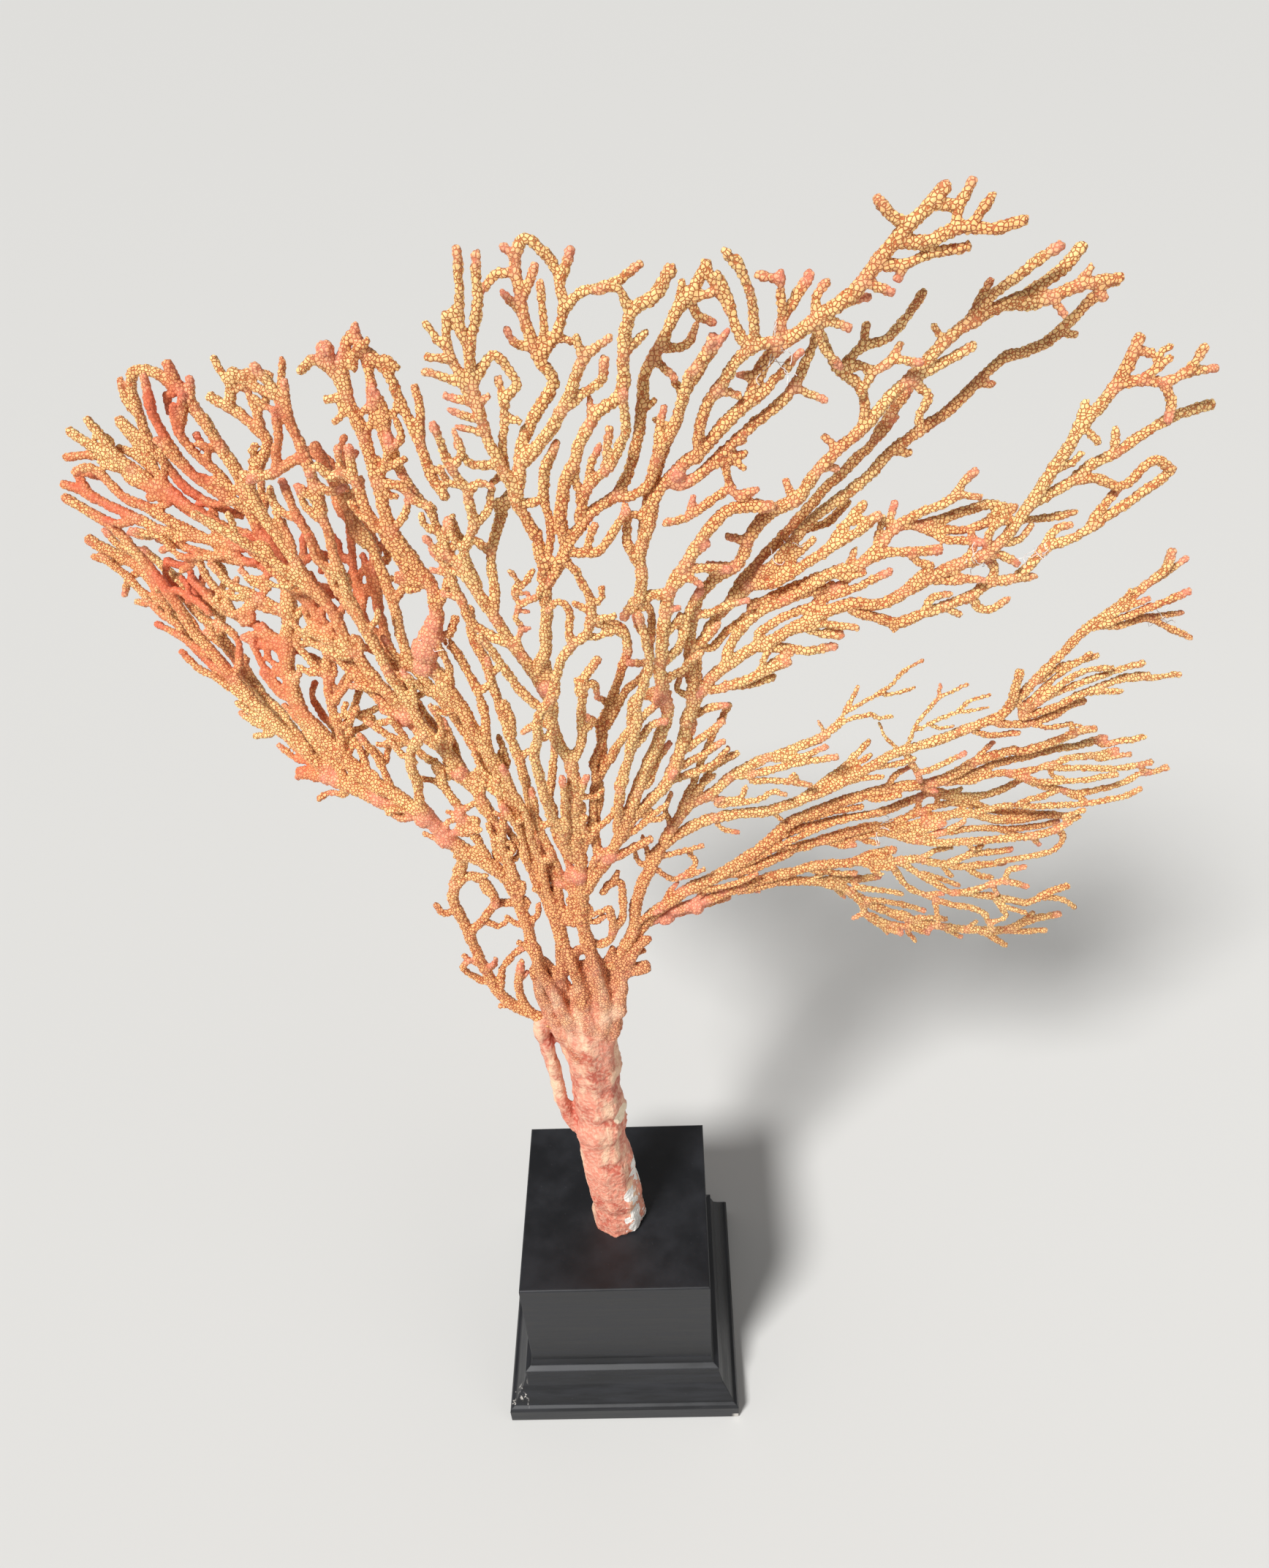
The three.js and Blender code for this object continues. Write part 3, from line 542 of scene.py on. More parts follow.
# %% The crest on the right
add_limb("crest_right", "right_stem", -0.05, """
2.6 2.8 22,381 23,388 23,395 25,402 27.7,411 33,418 38.5,422.5 45,429.5 50,434.6 52.5,441.5 57,447
+ 62,450.5 66.5,454 73,458 78,465 84,472 91,479
2.4 2.2 24,398 24.5,405 26.5,413 29,421 32,428 35.2,436 39,443 42,449.5
2.2 2 38,421 38,427 40,433 44.6,440 48,445 52,448 57,448
2.4 1.8 33,414 38,416.5 44,422 50,427.7 56,432.5 61,438 64,444.5 67,454
2.6 2.1 82,469 88,468.5 95,471 102,471 108.5,472
1.9 1.7 79,464 84,464 90,466 97,467
2.2 1.9 57,447 57.5,452 59,455.5 63,462.5
1.8 1.6 51,447 51,455 49.5,461.5 45,468.5
1.8 1.6 50,447 47,452 46,457 43,464
2.2 1.8 84,472 80,474.5 77,477.5
2 1.8 90,476 95,476 97,480
1.8 1.6 94,471 94.5,475
1.8 1.6 97,471 99,474 101,477
1.7 1.5 84,464 83,461
1.8 1.6 76,461 82,458
1.8 1.6 69,456 76,457
1.8 1.6 65,453 65,458 67,461
1.7 1.5 57.5,452 57,457 57,463
1.6 1.4 57,462 52,463.5
1.9 1.6 50,434 54,437 58,441 62,445.5
1.8 1.6 65,452.5 69,452.5 72.5,451
1.7 1.5 42.6,437.5 48,436
1.6 1.4 49.5,461 47.5,466.5
2 1.6 42,419 46,421 49.5,421.5
1.6 1.4 46,421 49,418
1.8 1.6 45,420 46,413.5 48,410.5 52,411.5
1.7 1.5 48,410.5 52,408.5 57.5,407
1.8 1.6 46,412.5 39,408 35,405 30,404
1.6 1.5 36,406 36.5,410.5
1.6 1.4 46,424 49,425
2 1.7 23.5,391 20,398 20,404 20,409
1.7 1.5 66,450 68,446 71,442
1.5 1.4 42,447 45,451
1.7 1.5 26,404 22,407
1.6 1.4 32,428 28.5,431
1.6 1.4 35.2,436 33,440
1.7 1.5 52,441 48,441
1.7 1.5 61,438 64,436 68.5,434.5
""")

# %% The upper reach
add_limb("reach_upper", "right_stem", 0.05, """
3 2.4 13,300 19,308 27,318 31,329 34,340 36,347 40,355 46,361 54,366 66,373 77,378 87,378 93,382
+ 103,387.5 111,391 117,398 121,406 125,414 129,423 134,431 137.5,439 139,445
2.2 2 120,405 126,408 131,412 135,415.5 141,419 148,424.6 153,427.5 159,429
2 1.8 135,434 141,435.5 147,435 152,438 154,442.5
1.9 1.8 131,411 136,411.5 142,409 145,411 149,416 154,412.5
1.9 1.8 147,435 149.6,430 150,426
2.4 2 45,360 46,366 49,372 54,376.5 61,380.5 67,384 73,387.5 80,390.5 87,393 99,393
2.2 1.8 80,390 84,395 88,399.5 95,401 103,403 110,405.5 117,404.5
1.9 1.7 88,401 94,404 100,407 106,414
2.2 1.9 54,366 60,365.5 66,364.5 74,365
2.2 2 38,353 43,352.5 48,354.5 56,357.5 62,360.5
1.9 1.7 138.5,443 142,442
1.7 1.5 128,422 129.6,430.5
1.7 1.5 130,425 134.5,421
1.8 1.6 151,437 158,437.5
1.7 1.5 142,436 147,440.5
1.7 1.5 139,418 138,423.5
1.7 1.5 86,397 87,406.5
1.8 1.6 93,400.5 101,396.5 109.5,395
1.8 1.6 97,400 105,398.5 111,400.5 117.5,400.4
1.6 1.4 102,408.5 108,408
1.7 1.5 92,393 94.5,390 98,388.5 95,385.5 92,382
1.8 1.6 61,380.5 68,382 73,384.5
1.8 1.6 70,380.5 79,383 87,387.5
2 1.7 54,370 61,375.5 69,379 76,385 80,389
1.8 1.6 64,371 72,372.5 80,371
1.7 1.5 67,372 71,369.5 76,368.7
1.7 1.5 54,358 58,361 62,363
1.8 1.6 41,355.5 37,352
2 1.7 27,318 30.4,327 33.5,333 36,340
1.8 1.6 30,328 34,332 40,337 44,341.5
1.8 1.6 30,324 38,329 44.5,333.7
1.8 1.6 29,320 38,324 44.5,327.5 48,329
1.8 1.6 36,343 41.3,346.5 45.5,347
1.8 1.6 45,354 52,353.5 58,356
1.8 1.6 98,385 105.5,384
1.8 1.6 111,391 116,391 120,388.5
1.7 1.5 106,388.5 108.5,394 107,398
1.7 1.5 112,392 112,398 115,402
1.6 1.4 119,401 127,401.5 132,402.5
1.7 1.5 103,387.5 107,384.5 112,384
1.6 1.5 118,400 113,403 110,401
1.7 1.5 115,395 120,395.5 122,399
1.6 1.4 77,389 78,394
1.6 1.4 66,373 68,377
""")

# %% The lower reach
add_limb("reach_lower", "reach_upper", 0.1, """
2.4 1.9 78,377 84,374 91,372 97,374.3 103,376.5 109,379.5 114,383 120,384.5 124,389 128,393.6 134,396
+ 140,400.5 147,406 153,412
1.9 1.8 137,399 138.5,403 142,408.5
1.8 1.7 109,380 112,375.5 115,375 119,378
2 1.8 114,384 114.3,387.5 112,391
1.7 1.5 98,375.6 99,379 103.5,380.5
1.8 1.6 119,384 125,384.5
1.7 1.5 125.5,392 128,397.5 131.5,399
1.6 1.4 87,373.5 90,370
1.6 1.4 103,376.5 107,374
""")

# %% The upper long limb
add_limb("long_upper", "reach_upper", 0.02, """
3 2.2 34,341 36,350 35.5,362 35,371 37.5,381 42,387.5 48.3,392 51,399 56.7,406 63,409.5 67,416 72,421.5
+ 78,427.5 83,433.5 89,440 95,446.5 101.5,451.7 108,454 114,454 121,457.5 131,459
2.4 2.2 101,451 106,454.5 113,457 118,461 121.7,466
2 1.8 101,451 104,456 110,461 117,466.5
2 1.9 88,438 94,441 101,445
1.9 1.7 77,425 77.5,431 76.5,437 71,441 68,446 66,450
1.8 1.6 71,441 76,446 81,447.5 85,452 88.5,457.5
1.8 1.6 99,450 101.5,455.5 103.3,459.5
1.7 1.5 123,457.8 124.8,461.5
1.7 1.5 126,458.5 129,455
1.7 1.5 118,455.5 121,451.7
1.8 1.6 88,438 92,434 90.5,429 91.5,425
1.8 1.6 68,417 72,416.5
1.8 1.6 72,441 76,442 79.5,440.5 84,443 90,442
1.7 1.5 82,441.5 84.5,446.5
1.7 1.5 76,446 77,451
1.8 1.6 79,440 76.8,436
1.7 1.5 62,409 60,414
1.8 1.6 36.5,377 41,377.5 46,379.3 50.3,380.5
2 1.7 35.5,366 39.4,369 43,373.5
1.8 1.6 47,391 41,391.5
1.8 1.6 50.5,398 46,399.5
1.6 1.4 72,421.5 69,425
1.6 1.4 95,446.5 92,450
1.6 1.4 36,350 31.5,353 33,358
""")

# %% The lower long limb
add_limb("long_lower", "reach_upper", 0.12, """
2.6 1.9 37,350 37,360 39,369 44,377.5 51,384.5 57,391 63,398.5 69,406 75,410 80,415 85,421 91,425.5
+ 97,430 103,436.5 109,442 114,443.5 120,447.5 128,456
2.2 1.9 44,377 49,386 55,394 62,402 69,411 76,418 82,426 88,437
2.2 2.1 51,385 57,385 63,388.5 69,393.5 76,398 83,403
1.9 1.9 70,393 74,400 79,406.5
1.8 1.6 57,388 62,392 67,398
1.8 1.6 46,379 52,387 54.7,390
1.8 1.6 41,366 45.5,371 50,375.5 58,379.5
2 1.7 52,379 60,382.5 68,386.5 75,389
1.7 1.5 81,424 85,429
1.7 1.5 74,401 78,402.5 82,403
1.8 1.6 64,401 70,402.5 75,407.5
1.6 1.4 85,421 89,420
1.6 1.4 103,436.5 107,436
1.6 1.4 120,447.5 124,447
""")

# %% [markdown]
# ## The low limbs on the right
# These limbs leave the top of the trunk and fan out low to the right, in layers that lean back more and
# more towards the bottom. Their twigs run nearly parallel, so they are drawn thinner to keep the gaps
# open.

# %% The upper low limb
add_limb("low_upper", "trunk", 0.08, """
4.2 2.6 7,241 11,248 15,257 16,266 18,276 22,285 25,293 29,302 34,310 41,314.5 48,322 55,326.5 64,330
+ 74,335
1.6 1.2 73,335 77,339.5 79.4,345 82,351.5
1.3 1.1 79,343 86,347.8 91,351.5 94,356 99,359.5
1.4 1.2 75,336 80,340.3 86,342 88.7,340.5 92,341
2.2 1.9 46,321 53,321.5 60,323.5 68,325.5 77,327
2.2 1.9 31,306 33,313 36,320 38,327 41,335 46,347
2 1.8 37,313 38.5,319 42,325 48,329
1.8 1.6 34,312 37,316.5 41.5,321.5
1.8 1.6 41,313 49,312 51,316.5
1.8 1.6 43,310 54,311.5 59,314.5 63,313.5
1.8 1.6 25,290 32,291.5 38,294
1.8 1.6 24,284 29,279.5 34,283 36,287 33,292
1.7 1.5 31,281 35,281.5 38.5,283.5
1.2 1 88,349 92,348.7 97.5,350.5
1.2 1 74,335 71.5,340
1.8 1.6 53,319 62,318.7 70,317
1.6 1.5 65.4,321 66.5,317.5
2 1.7 57,327 67,327.5 74,330.5
2 1.7 11,248 14,245.5 18,247
1.9 1.6 15,257 19,263 24,266
1.9 1.6 18,276 20,283 21,291 20,298
1.7 1.5 29,302 27,309 29,315
1.7 1.5 22,285 18,288 17,294
""")

# %% The long low limb
add_limb("low_long", "low_upper", 0.13, """
3.4 2.2 23,291 28,296.5 35,302 42,305 51,306.5 59,307.5 67,310.5 75,314.5 82,319 88,323 95,328
+ 103,330.5 110,333.5 117,337 123,340 127,346 132,353.5 136.5,360 141,367 148,374 154,380 158.5,385
+ 159,390
2.2 1.9 68,312 73,316.5 78,321.5 82,326 86,332
2.4 2.4 122,338 125.3,345 126,354
1.9 1.7 129,343 133,348.5 137,353.5 144,359.5
2 1.8 129,341 135,345.5 141,349 150,353 159,356
2 1.6 129,339 136,341.5 143,345.5 150,349.5 157,351 164,351.3 170,352
2.2 2 123,337 129,336.5 136,338.5 141,342 145,344
2 1.9 142,368 148,369.5 155,373 160,375 166,378
2 1.7 143,369 150,368.5 157,370.5 163,367.5 170,364
1.3 1.1 97,328 98.5,334 100.5,340 104.5,346.5 108,348.5 112,351
1.2 1 100,336 105,339 110,341.5 114,345.5 119,347
1.8 1.6 155,381 159.5,384.5 163,388
1.8 1.6 147,371.5 151,374 156,376.5
1.7 1.5 157,370.5 166,372
1.7 1.5 143,346 149.5,347 155,346.7
1.7 1.5 149.5,349 155,351.5 161.6,352.6
1.8 1.6 132,351 136,355.5 140.5,357 146,359
1.8 1.6 133,344 139,351 145,354.5 151,355
1.2 1 95,329 91,333.5 89,338.5
1.2 1 109,341 114,342 119,343
1.2 1 103,338 106,336 110,337
1.2 1 104.5,346 104.7,351
1.2 1 131,336.5 137,335 143.5,335.5 148.7,334.5
1.8 1.6 78,321 83,324 87,327
1.8 1.6 80,317.5 91,319
1.8 1.6 88,322.5 95,323.5 100,325.5
1.8 1.6 97,328 101,321 102.5,317
1.8 1.6 102,320 107,322 114.3,326.5
1.8 1.6 114,336 121,333 129,333.5
1.6 1.4 42,305 44,300.5 49,299
1.6 1.4 59,307.5 62,303.5
""")

# %% The low fan
add_limb("low_fan", "trunk", 0.17, """
4.4 2 8,241 13,250 19,261 25,268 33,274.5 43,281 52,288 59,295 65,302.5 75,307.5 86,312 97,315
+ 106,316 112,319 118.4,323.4 123.2,325.4 128.3,327.4 131.4,326.9 135.4,328.1 141.2,330.7
+ 146.9,333.6 150.1,334
2.2 2 106,316 111.7,316.4 115.6,318.3 119.6,320.3 123.6,322.4 131.8,324.5 139.8,326.8 147.8,328.6
+ 153.7,330.5
1.9 1.7 152.1,329.6 154.2,328.1 158.1,329.2 162.2,329.8 164.9,330.5
2.1 1.8 110,316.2 118,316.3 121.2,318.1 125.4,318.7 132.6,319.2 140.7,321.4 144.6,323.4
+ 152.8,324.6 158,326
1.8 1.6 151.3,324.2 154.4,322.9 158,323.6 162.1,324.2
1.9 1.7 139.5,320.9 143,320.2 151.6,319.5 160.2,319.2 166.3,320.3 169.1,321
1.6 1.5 166.3,320.2 167.2,318.6 168.7,317.3
1.9 1.7 128,318.6 132.9,317 137.5,315.1 141.9,314.7 150.3,315.2 159.9,316.7
1.9 1.7 133.1,316.8 137.7,313.7 142.2,312.7 145,311.7 149.1,310.4 153.3,310.8 157.5,311.5
+ 161.4,313.3 164.5,314.8 167,316.9 170.3,317.5 174,318.8
1.9 1.7 144.6,311.9 140.2,309.4 136.4,308.4 133.2,307.1 134.7,305.8 139.1,305.4 143.4,305.5
+ 152.1,305.7 160.5,307.4 164.5,308.6 168.3,311
1.5 1.4 145.1,311.4 148.4,309.3 151.7,307.9 153.3,305.9
2.6 2 58,294 64,297.5 72,301 82,303.5 93,305.5 101,309.5 107.7,312.8 112.2,310.9 116.6,310.7
+ 121,310.5 125.1,311.5 128.4,313 132.9,316.9
1.8 1.6 104,314 107.7,312.8
1.8 1.6 106,312 113,309.5 119,308 126,304.5
1.6 1.4 144.7,332.7 143.5,336.1 140.4,335.3 136.5,334.9
1.8 1.6 103,310.5 103,306 100,303.5
1.7 1.5 108,312 109,307
1.7 1.5 93,314.5 95,319.5 99,322
1.8 1.6 117.9,323.2 118.9,325.6 121,328.7 122.1,330.2
2 1.7 33,274.5 40,275 48,277 55,281
2 1.7 65,302 71,304 78,306 86,307.5
1.8 1.6 52,288 58,290.5 65,292
1.8 1.6 86,312 91,310 97,311.5
1.6 1.4 25,268 27,274 30,278
""")

# %% The middle of the low fan
add_limb("low_middle", "low_fan", 0.24, """
3.4 2.4 43,281 49,282.5 55,284.5 61,287.5 67,291.5 75,294.5 83,297.5 91,299.3 99,298.5 106,300.5
+ 113,303 119,303.5 126,301 133,300.5 141,302 151,301
2.2 2 93,299 98,301.5 104,305 111,307.5 118,307.5 124,305 131,303.5 140,302.5
2.4 2.2 92,298 98,295.5 105,292.5 113,292 121,292 130,292.7 139,293.5 145,295.5 149.5,299
1.9 1.7 146,297 149,292 147,287.5 142,285.5 136,284 130,283
2 1.7 99,295 106,297 111.5,299.5
2 1.7 104,294 111,296 117.5,300
2 1.7 111,296 122,297.4 131,296.7 140,297.5 146,299
2 1.7 49,283 58,290 66,295 74,299.5 83,303 92,305
1.8 1.6 84,297 88,294 92,292.5
1.8 1.6 75,294.5 80,292 85,292
2 1.7 75,294.5 82,294 90,296 98,297
1.7 1.5 139,293.5 142,290
1.6 1.4 119,292 122,288.5
1.8 1.6 104,304 111,303.5 117,305.5
1.8 1.6 148,301 153,303
1.8 1.6 120,303.5 128,306 135,306
1.8 1.6 128,297 134,294 139,294
1.6 1.4 106,300.5 110,297
""")

# %% The lower low limb
add_limb("low_lower", "trunk", 0.22, """
4 2 10,242 14,251 18,259.5 25,264 33,267.5 42,271.5 50,275.5 58,279 66,281.5 75,284 84,284.5 90,286
+ 97,284.5 104,285.5 112,283 121,281.5 132,282.5
2.4 2.2 84,284 90,288 97,289.5
2 1.9 99,285 103,281.5 108,277.5 113,273.5 118,269.8 124,270.5 130,273.5 134,274.5 141,272
2.2 2 118,270 124,269.5 131,268 137,266 143,265 149,269 153.6,271.3
2 1.9 97,284 100,278 104,272.5 110,269 117,265 124,263 129,260.5 131,256.5 133,252.5
2 1.9 115,283 120.7,286.3 127,287.3 133.5,288
1.8 1.6 106,285.5 110,288.5 115,290
1.8 1.6 120,286 124.5,290.3
1.8 1.6 120,281.5 125,277.5 129,276.5
1.8 1.6 134,274 134.3,279 138.5,280.5
1.8 1.6 109,269.5 114.5,270
1.8 1.6 106,279 111,277.5 115,275.5 119,273.5
1.8 1.6 131,268 134.5,263.5 142.3,260
1.8 1.6 147,267 153.6,265.5 158,262
1.7 1.5 112,268 114,261 115,256
1.7 1.5 134,263 136.5,258.5 132,256
2.4 2 22,263 30,264.5 38,267.5 46,271
1.8 1.6 86,285 92,282.5 98,281.5
1.7 1.5 74,284 80,280.5 86,280
1.7 1.5 33,267.5 38,273 44,275
1.7 1.5 130,273.5 132,269
1.6 1.4 50,275.5 56,273.5
""")

# %% The lowest limb
add_limb("low_bottom", "low_lower", 0.3, """
3 2.3 50,274 58,276.5 66,277.5 74,276.8 81,274.5 87,270 93,265.5 99,261.5 105,258.5 111,256.3 117,254.5
+ 124,253 131,252.3 138,252.3 146,257 153,259
2.4 2.1 70,277 78,277.5 86,277.5 93.5,278.3
2.2 1.8 85,272 89,267 90.5,262 94,258 98,254.5 103,252
2 1.9 92,261 98,257 105,255 112,252
2 1.9 129,252 134,248.5 138,245
1.9 1.8 137,252 144,251.3 150,251.5
1.8 1.6 79,275.7 81.4,272.5 83.2,269.8
1.8 1.6 87,274 95,272.3 101.5,270
1.8 1.6 91,268 99,266.5 104,264.5 109.5,262.5
1.8 1.6 99,262 104,261 108,257 112.3,253.5
1.6 1.4 99,256 103,253.7
1.7 1.5 116,255 119.5,252 123,249.5
1.7 1.5 90.5,262 87,260
1.6 1.4 97,255.5 98.8,252
1.8 1.6 104,258.8 111,259 117,258
1.8 1.6 138,252.4 141.5,255.5 145,259.5
1.6 1.4 124,253 127,256.5
""")

# %% [markdown]
# ## Small twigs and knots
# Between the branches that can be read one by one there are short twigs, too many and too small to
# list. They could be scattered as copies of one twig, but then they would look stamped. Each is drawn
# anew with a seeded random bend. Where branches touched for long, the crust has grown over both in a
# pink knot.

# %% How many twigs for each 100 mm of branch
TWIGS = {
    "left_loop": 1.5, "wing_stem": 6, "wing_edge": 2.5, "wing_middle": 3, "wing_crest": 1.5, "wing_inner": 5,
    "shoulder": 3.5, "centre": 2, "crown_left": 1.5, "right_stem": 1, "reach_upper": 0.8, "long_lower": 1,
    "low_long": 0.5, "low_fan": 0.2, "low_middle": 0.6, "low_lower": 1.5, "low_bottom": 1.5,
}

# %% Knots: across, up and radius in millimetres
LUMPS = {
    "trunk": [(5.4, 162.5, 3.2)],
    "shoulder": [(-37.5, 364, 3.4), (-36.5, 369, 4.2), (-34.5, 373, 3.6), (-33, 377, 2.8), (-47, 451, 2.3)],
    "wing_stem": [(-41, 300, 3.2), (-46, 309, 3.4)],
    "wing_edge": [(-58, 317, 3.2), (-72, 326, 2.8)],
    "wing_middle": [(-72, 398, 2.8), (-77, 403, 2.8)],
    "wing_inner": [(-46, 346, 2.6), (-33, 326, 2.6)],
    "centre": [(-5, 355, 2.6), (-1, 283, 3)],
    "crest_right": [(33, 417, 2.2)],
    "right_stem": [(9, 291, 2.8), (27, 350, 2.4)],
    "low_lower": [(26, 263.5, 3), (36, 267.5, 2.8)],
}

# %% Drawing the small twigs
WRITTEN = {name: len(branches) for name, branches in BRANCHES.items()}
FIRST_SEED = 100
TWIG_STEP = (1.6, 2.9)
TWIG_TURN = (0.7, 1.25)
LATER_BENDS = ((0.75, -0.5, 0.3), (0.4, -0.8, 0.4))
TWIG_ROOT = (1.35, 1.65)
TWIG_TIP = 1.4


def add_twigs(name, per_100_mm, seed):
    """Adds short twigs, each leaving its branch to one side and bending back along it."""
    luck = np.random.default_rng(seed)
    for branch in list(BRANCHES[name]):
        step = np.diff(branch["route"], axis=0)
        length = np.linalg.norm(step, axis=1)
        for _ in range(luck.poisson(per_100_mm * length.sum() / 100)):
            at = luck.integers(max(1, len(step) - 1))
            root = branch["route"][at] + step[at] * luck.random()
            along = math.atan2(step[at][1], step[at][0])
            side = luck.choice((-1.0, 1.0))
            reach = luck.uniform(*TWIG_STEP)
            turn = luck.uniform(*TWIG_TURN)
            route = [root]
            for bend in [1.0] + [middle + luck.uniform(low, high) for middle, low, high in LATER_BENDS]:
                angle = along + side * turn * bend
                route.append(route[-1] + reach * np.array([math.cos(angle), math.sin(angle)]))
            radii = np.linspace(luck.uniform(*TWIG_ROOT), TWIG_TIP, len(route))
            BRANCHES[name].append({"depth": 0.0, "route": np.array(route), "radii": radii})


for seed, (limb, density) in enumerate(TWIGS.items()):
    add_twigs(limb, density, FIRST_SEED + seed)
total = sum(len(branches) for branches in BRANCHES.values())
print(total, "branches,", total - sum(WRITTEN.values()), "of them small twigs")

# %% [markdown]
# ## From the flat face to space
# The lines give a branch only across and up. Each limb lies on its own thin, bent sheet that starts
# where the limb forks off and leans back from there, and neighbours on one limb stand a little in front
# of each other. A point is slid along the line of sight to its sheet, so it still shows where it was
# read.

# %% A limb's sheet
FACE_Y = -4.0
SPREAD = [0.0, 0.16, -0.16, 0.08, -0.08]


def sheet_depth(name, at):
    """How far back a limb's sheet lies at a point of the face, in millimetres."""
    parent, lean = LIMBS[name]
    if not parent:
        return 0.0
    root = BRANCHES[name][0]["route"][0]
    return sheet_depth(parent, root) + lean * math.dist(root, at)


def out_of_sheet(name, number, at):
    """How far a branch stands out of its limb's sheet, so that neighbours run side by side."""
    if number == 0 or name == "trunk":
        return 0.0
    root = BRANCHES[name][number]["route"][0]
    reach = [np.linalg.norm(b["route"] - root, axis=1).min() for b in BRANCHES[name][:number]]
    carried = out_of_sheet(name, int(np.argmin(reach)), root)
    return carried + SPREAD[number % len(SPREAD)] * math.dist(root, at)


def on_sheet(name, at, more_depth=0.0):
    """The place in space of a point of the face, on the limb's sheet or that much behind it."""
    depth = sheet_depth(name, at) + more_depth
    share = (FACE_Y + depth - VIEWPOINT[1]) / (FACE_Y - VIEWPOINT[1])
    return VIEWPOINT + (np.array([at[0], FACE_Y, at[1]]) - VIEWPOINT) * share


# %% A branch's points and radii
TWIG_SLIM = 0.69
LOW_TWIG_SLIM = 0.57
STEM_SLIM = 0.5
TWIG_RADIUS = 2.0
CRUST = 0.08


def slim(radii, low):
    """The radius under the polyps. What was read includes them, and the blur of the picture's edges."""
    twig = np.minimum(radii, TWIG_RADIUS) * (LOW_TWIG_SLIM if low else TWIG_SLIM) - CRUST
    return twig + np.maximum(radii - TWIG_RADIUS, 0.0) * STEM_SLIM


def in_space(name, number):
    """A branch's points in space, in millimetres, and its radii under the polyps."""
    branch = BRANCHES[name][number]
    bare = branch["radii"] if name == "trunk" else slim(branch["radii"], name.startswith("low_"))
    spots = []
    radii = []
    shares = np.linspace(0, 1, len(bare))
    for at, radius, share in zip(branch["route"], bare, shares):
        own = branch["depth"] * (1 - share ** 2 if name == "trunk" else 1)
        spot = on_sheet(name, at, out_of_sheet(name, number, at) + own)
        spots.append(spot)
        radii.append(radius * (spot[1] - VIEWPOINT[1]) / (FACE_Y - VIEWPOINT[1]))
    return np.array(spots), np.array(radii)


print("the wing's edge lies", round(sheet_depth("wing_edge", (-119, 417))), "mm behind the face")

# %% [markdown]
# ## Tubes that look grown
# A branch is round, but never an even pipe: it wanders, swells at knots and ends in a blunt, rounded
# tip. A Bezier curve with a bevel would be quick and too even. Here a Catmull-Rom curve runs through
# the points, smooth noise moves and swells it, and each route becomes a poly spline whose bevel gives
# it thickness.

# %% A smooth route
# Unless it is given a seed, noise_vector starts from the clock, and each run would grow another fan.
WANDER_SEED = 1
noise.seed_set(WANDER_SEED)


def smooth_route(spots, radii, step):
    """A Catmull-Rom curve through the points, with its radii, sampled about every step millimetres."""
    ends = np.vstack([2 * spots[0] - spots[1], spots, 2 * spots[-1] - spots[-2]])
    route = []
    width = []
    for i in range(len(spots) - 1):
        a, b, c, d = ends[i:i + 4]
        count = max(2, round(float(np.linalg.norm(c - b)) / step))
        for t in np.arange(count) / count:
            route.append(0.5 * (2 * b + (c - a) * t + (2 * a - 5 * b + 4 * c - d) * t ** 2
                                + (3 * b - a - 3 * c + d) * t ** 3))
            width.append(radii[i] + (radii[i + 1] - radii[i]) * t)
    return np.array(route + [spots[-1]]), np.array(width + [radii[-1]])


def wander(spot, size, seed):
    """A small, smooth, fixed offset for a point."""
    return np.array(noise.noise_vector(Vector(spot) / size + Vector((seed, 0, 0))))


def nearest(spot, routes):
    """The point of the routes that is nearest to a spot."""
    points = np.vstack(routes)
    return points[np.argmin(np.linalg.norm(points - spot, axis=1))]


# %% Tubes and knots as splines
TOUCHING = 0.4
TOO_FAR = 9.0
ROUTE_STEP = 1.3
WANDER_SIZE = 7.0
STILL_STEPS = 4
NEXT_WANDER = 3.7
KNOT_SIZE = 1.6
KNOT_GROWTH = 1.1
KNOT_SWELL = 0.16
FORK_SWELL = 0.12
FORK_STEPS = 2.0
TIP_SWELL = 1.06
TIP_PROFILE = ((0.45, 0.93), (0.8, 0.7), (1.0, 0.3))
ROUTES = {name: [] for name in LIMBS}


def add_spline(curve, route, width):
    """A poly spline along a route in millimetres, as thick as the widths say."""
    spline = curve.splines.new("POLY")
    spline.points.add(len(route) - 1)
    spline.points.foreach_set("co", np.column_stack([route * MM, np.ones(len(route))]).ravel())
    spline.points.foreach_set("radius", width)


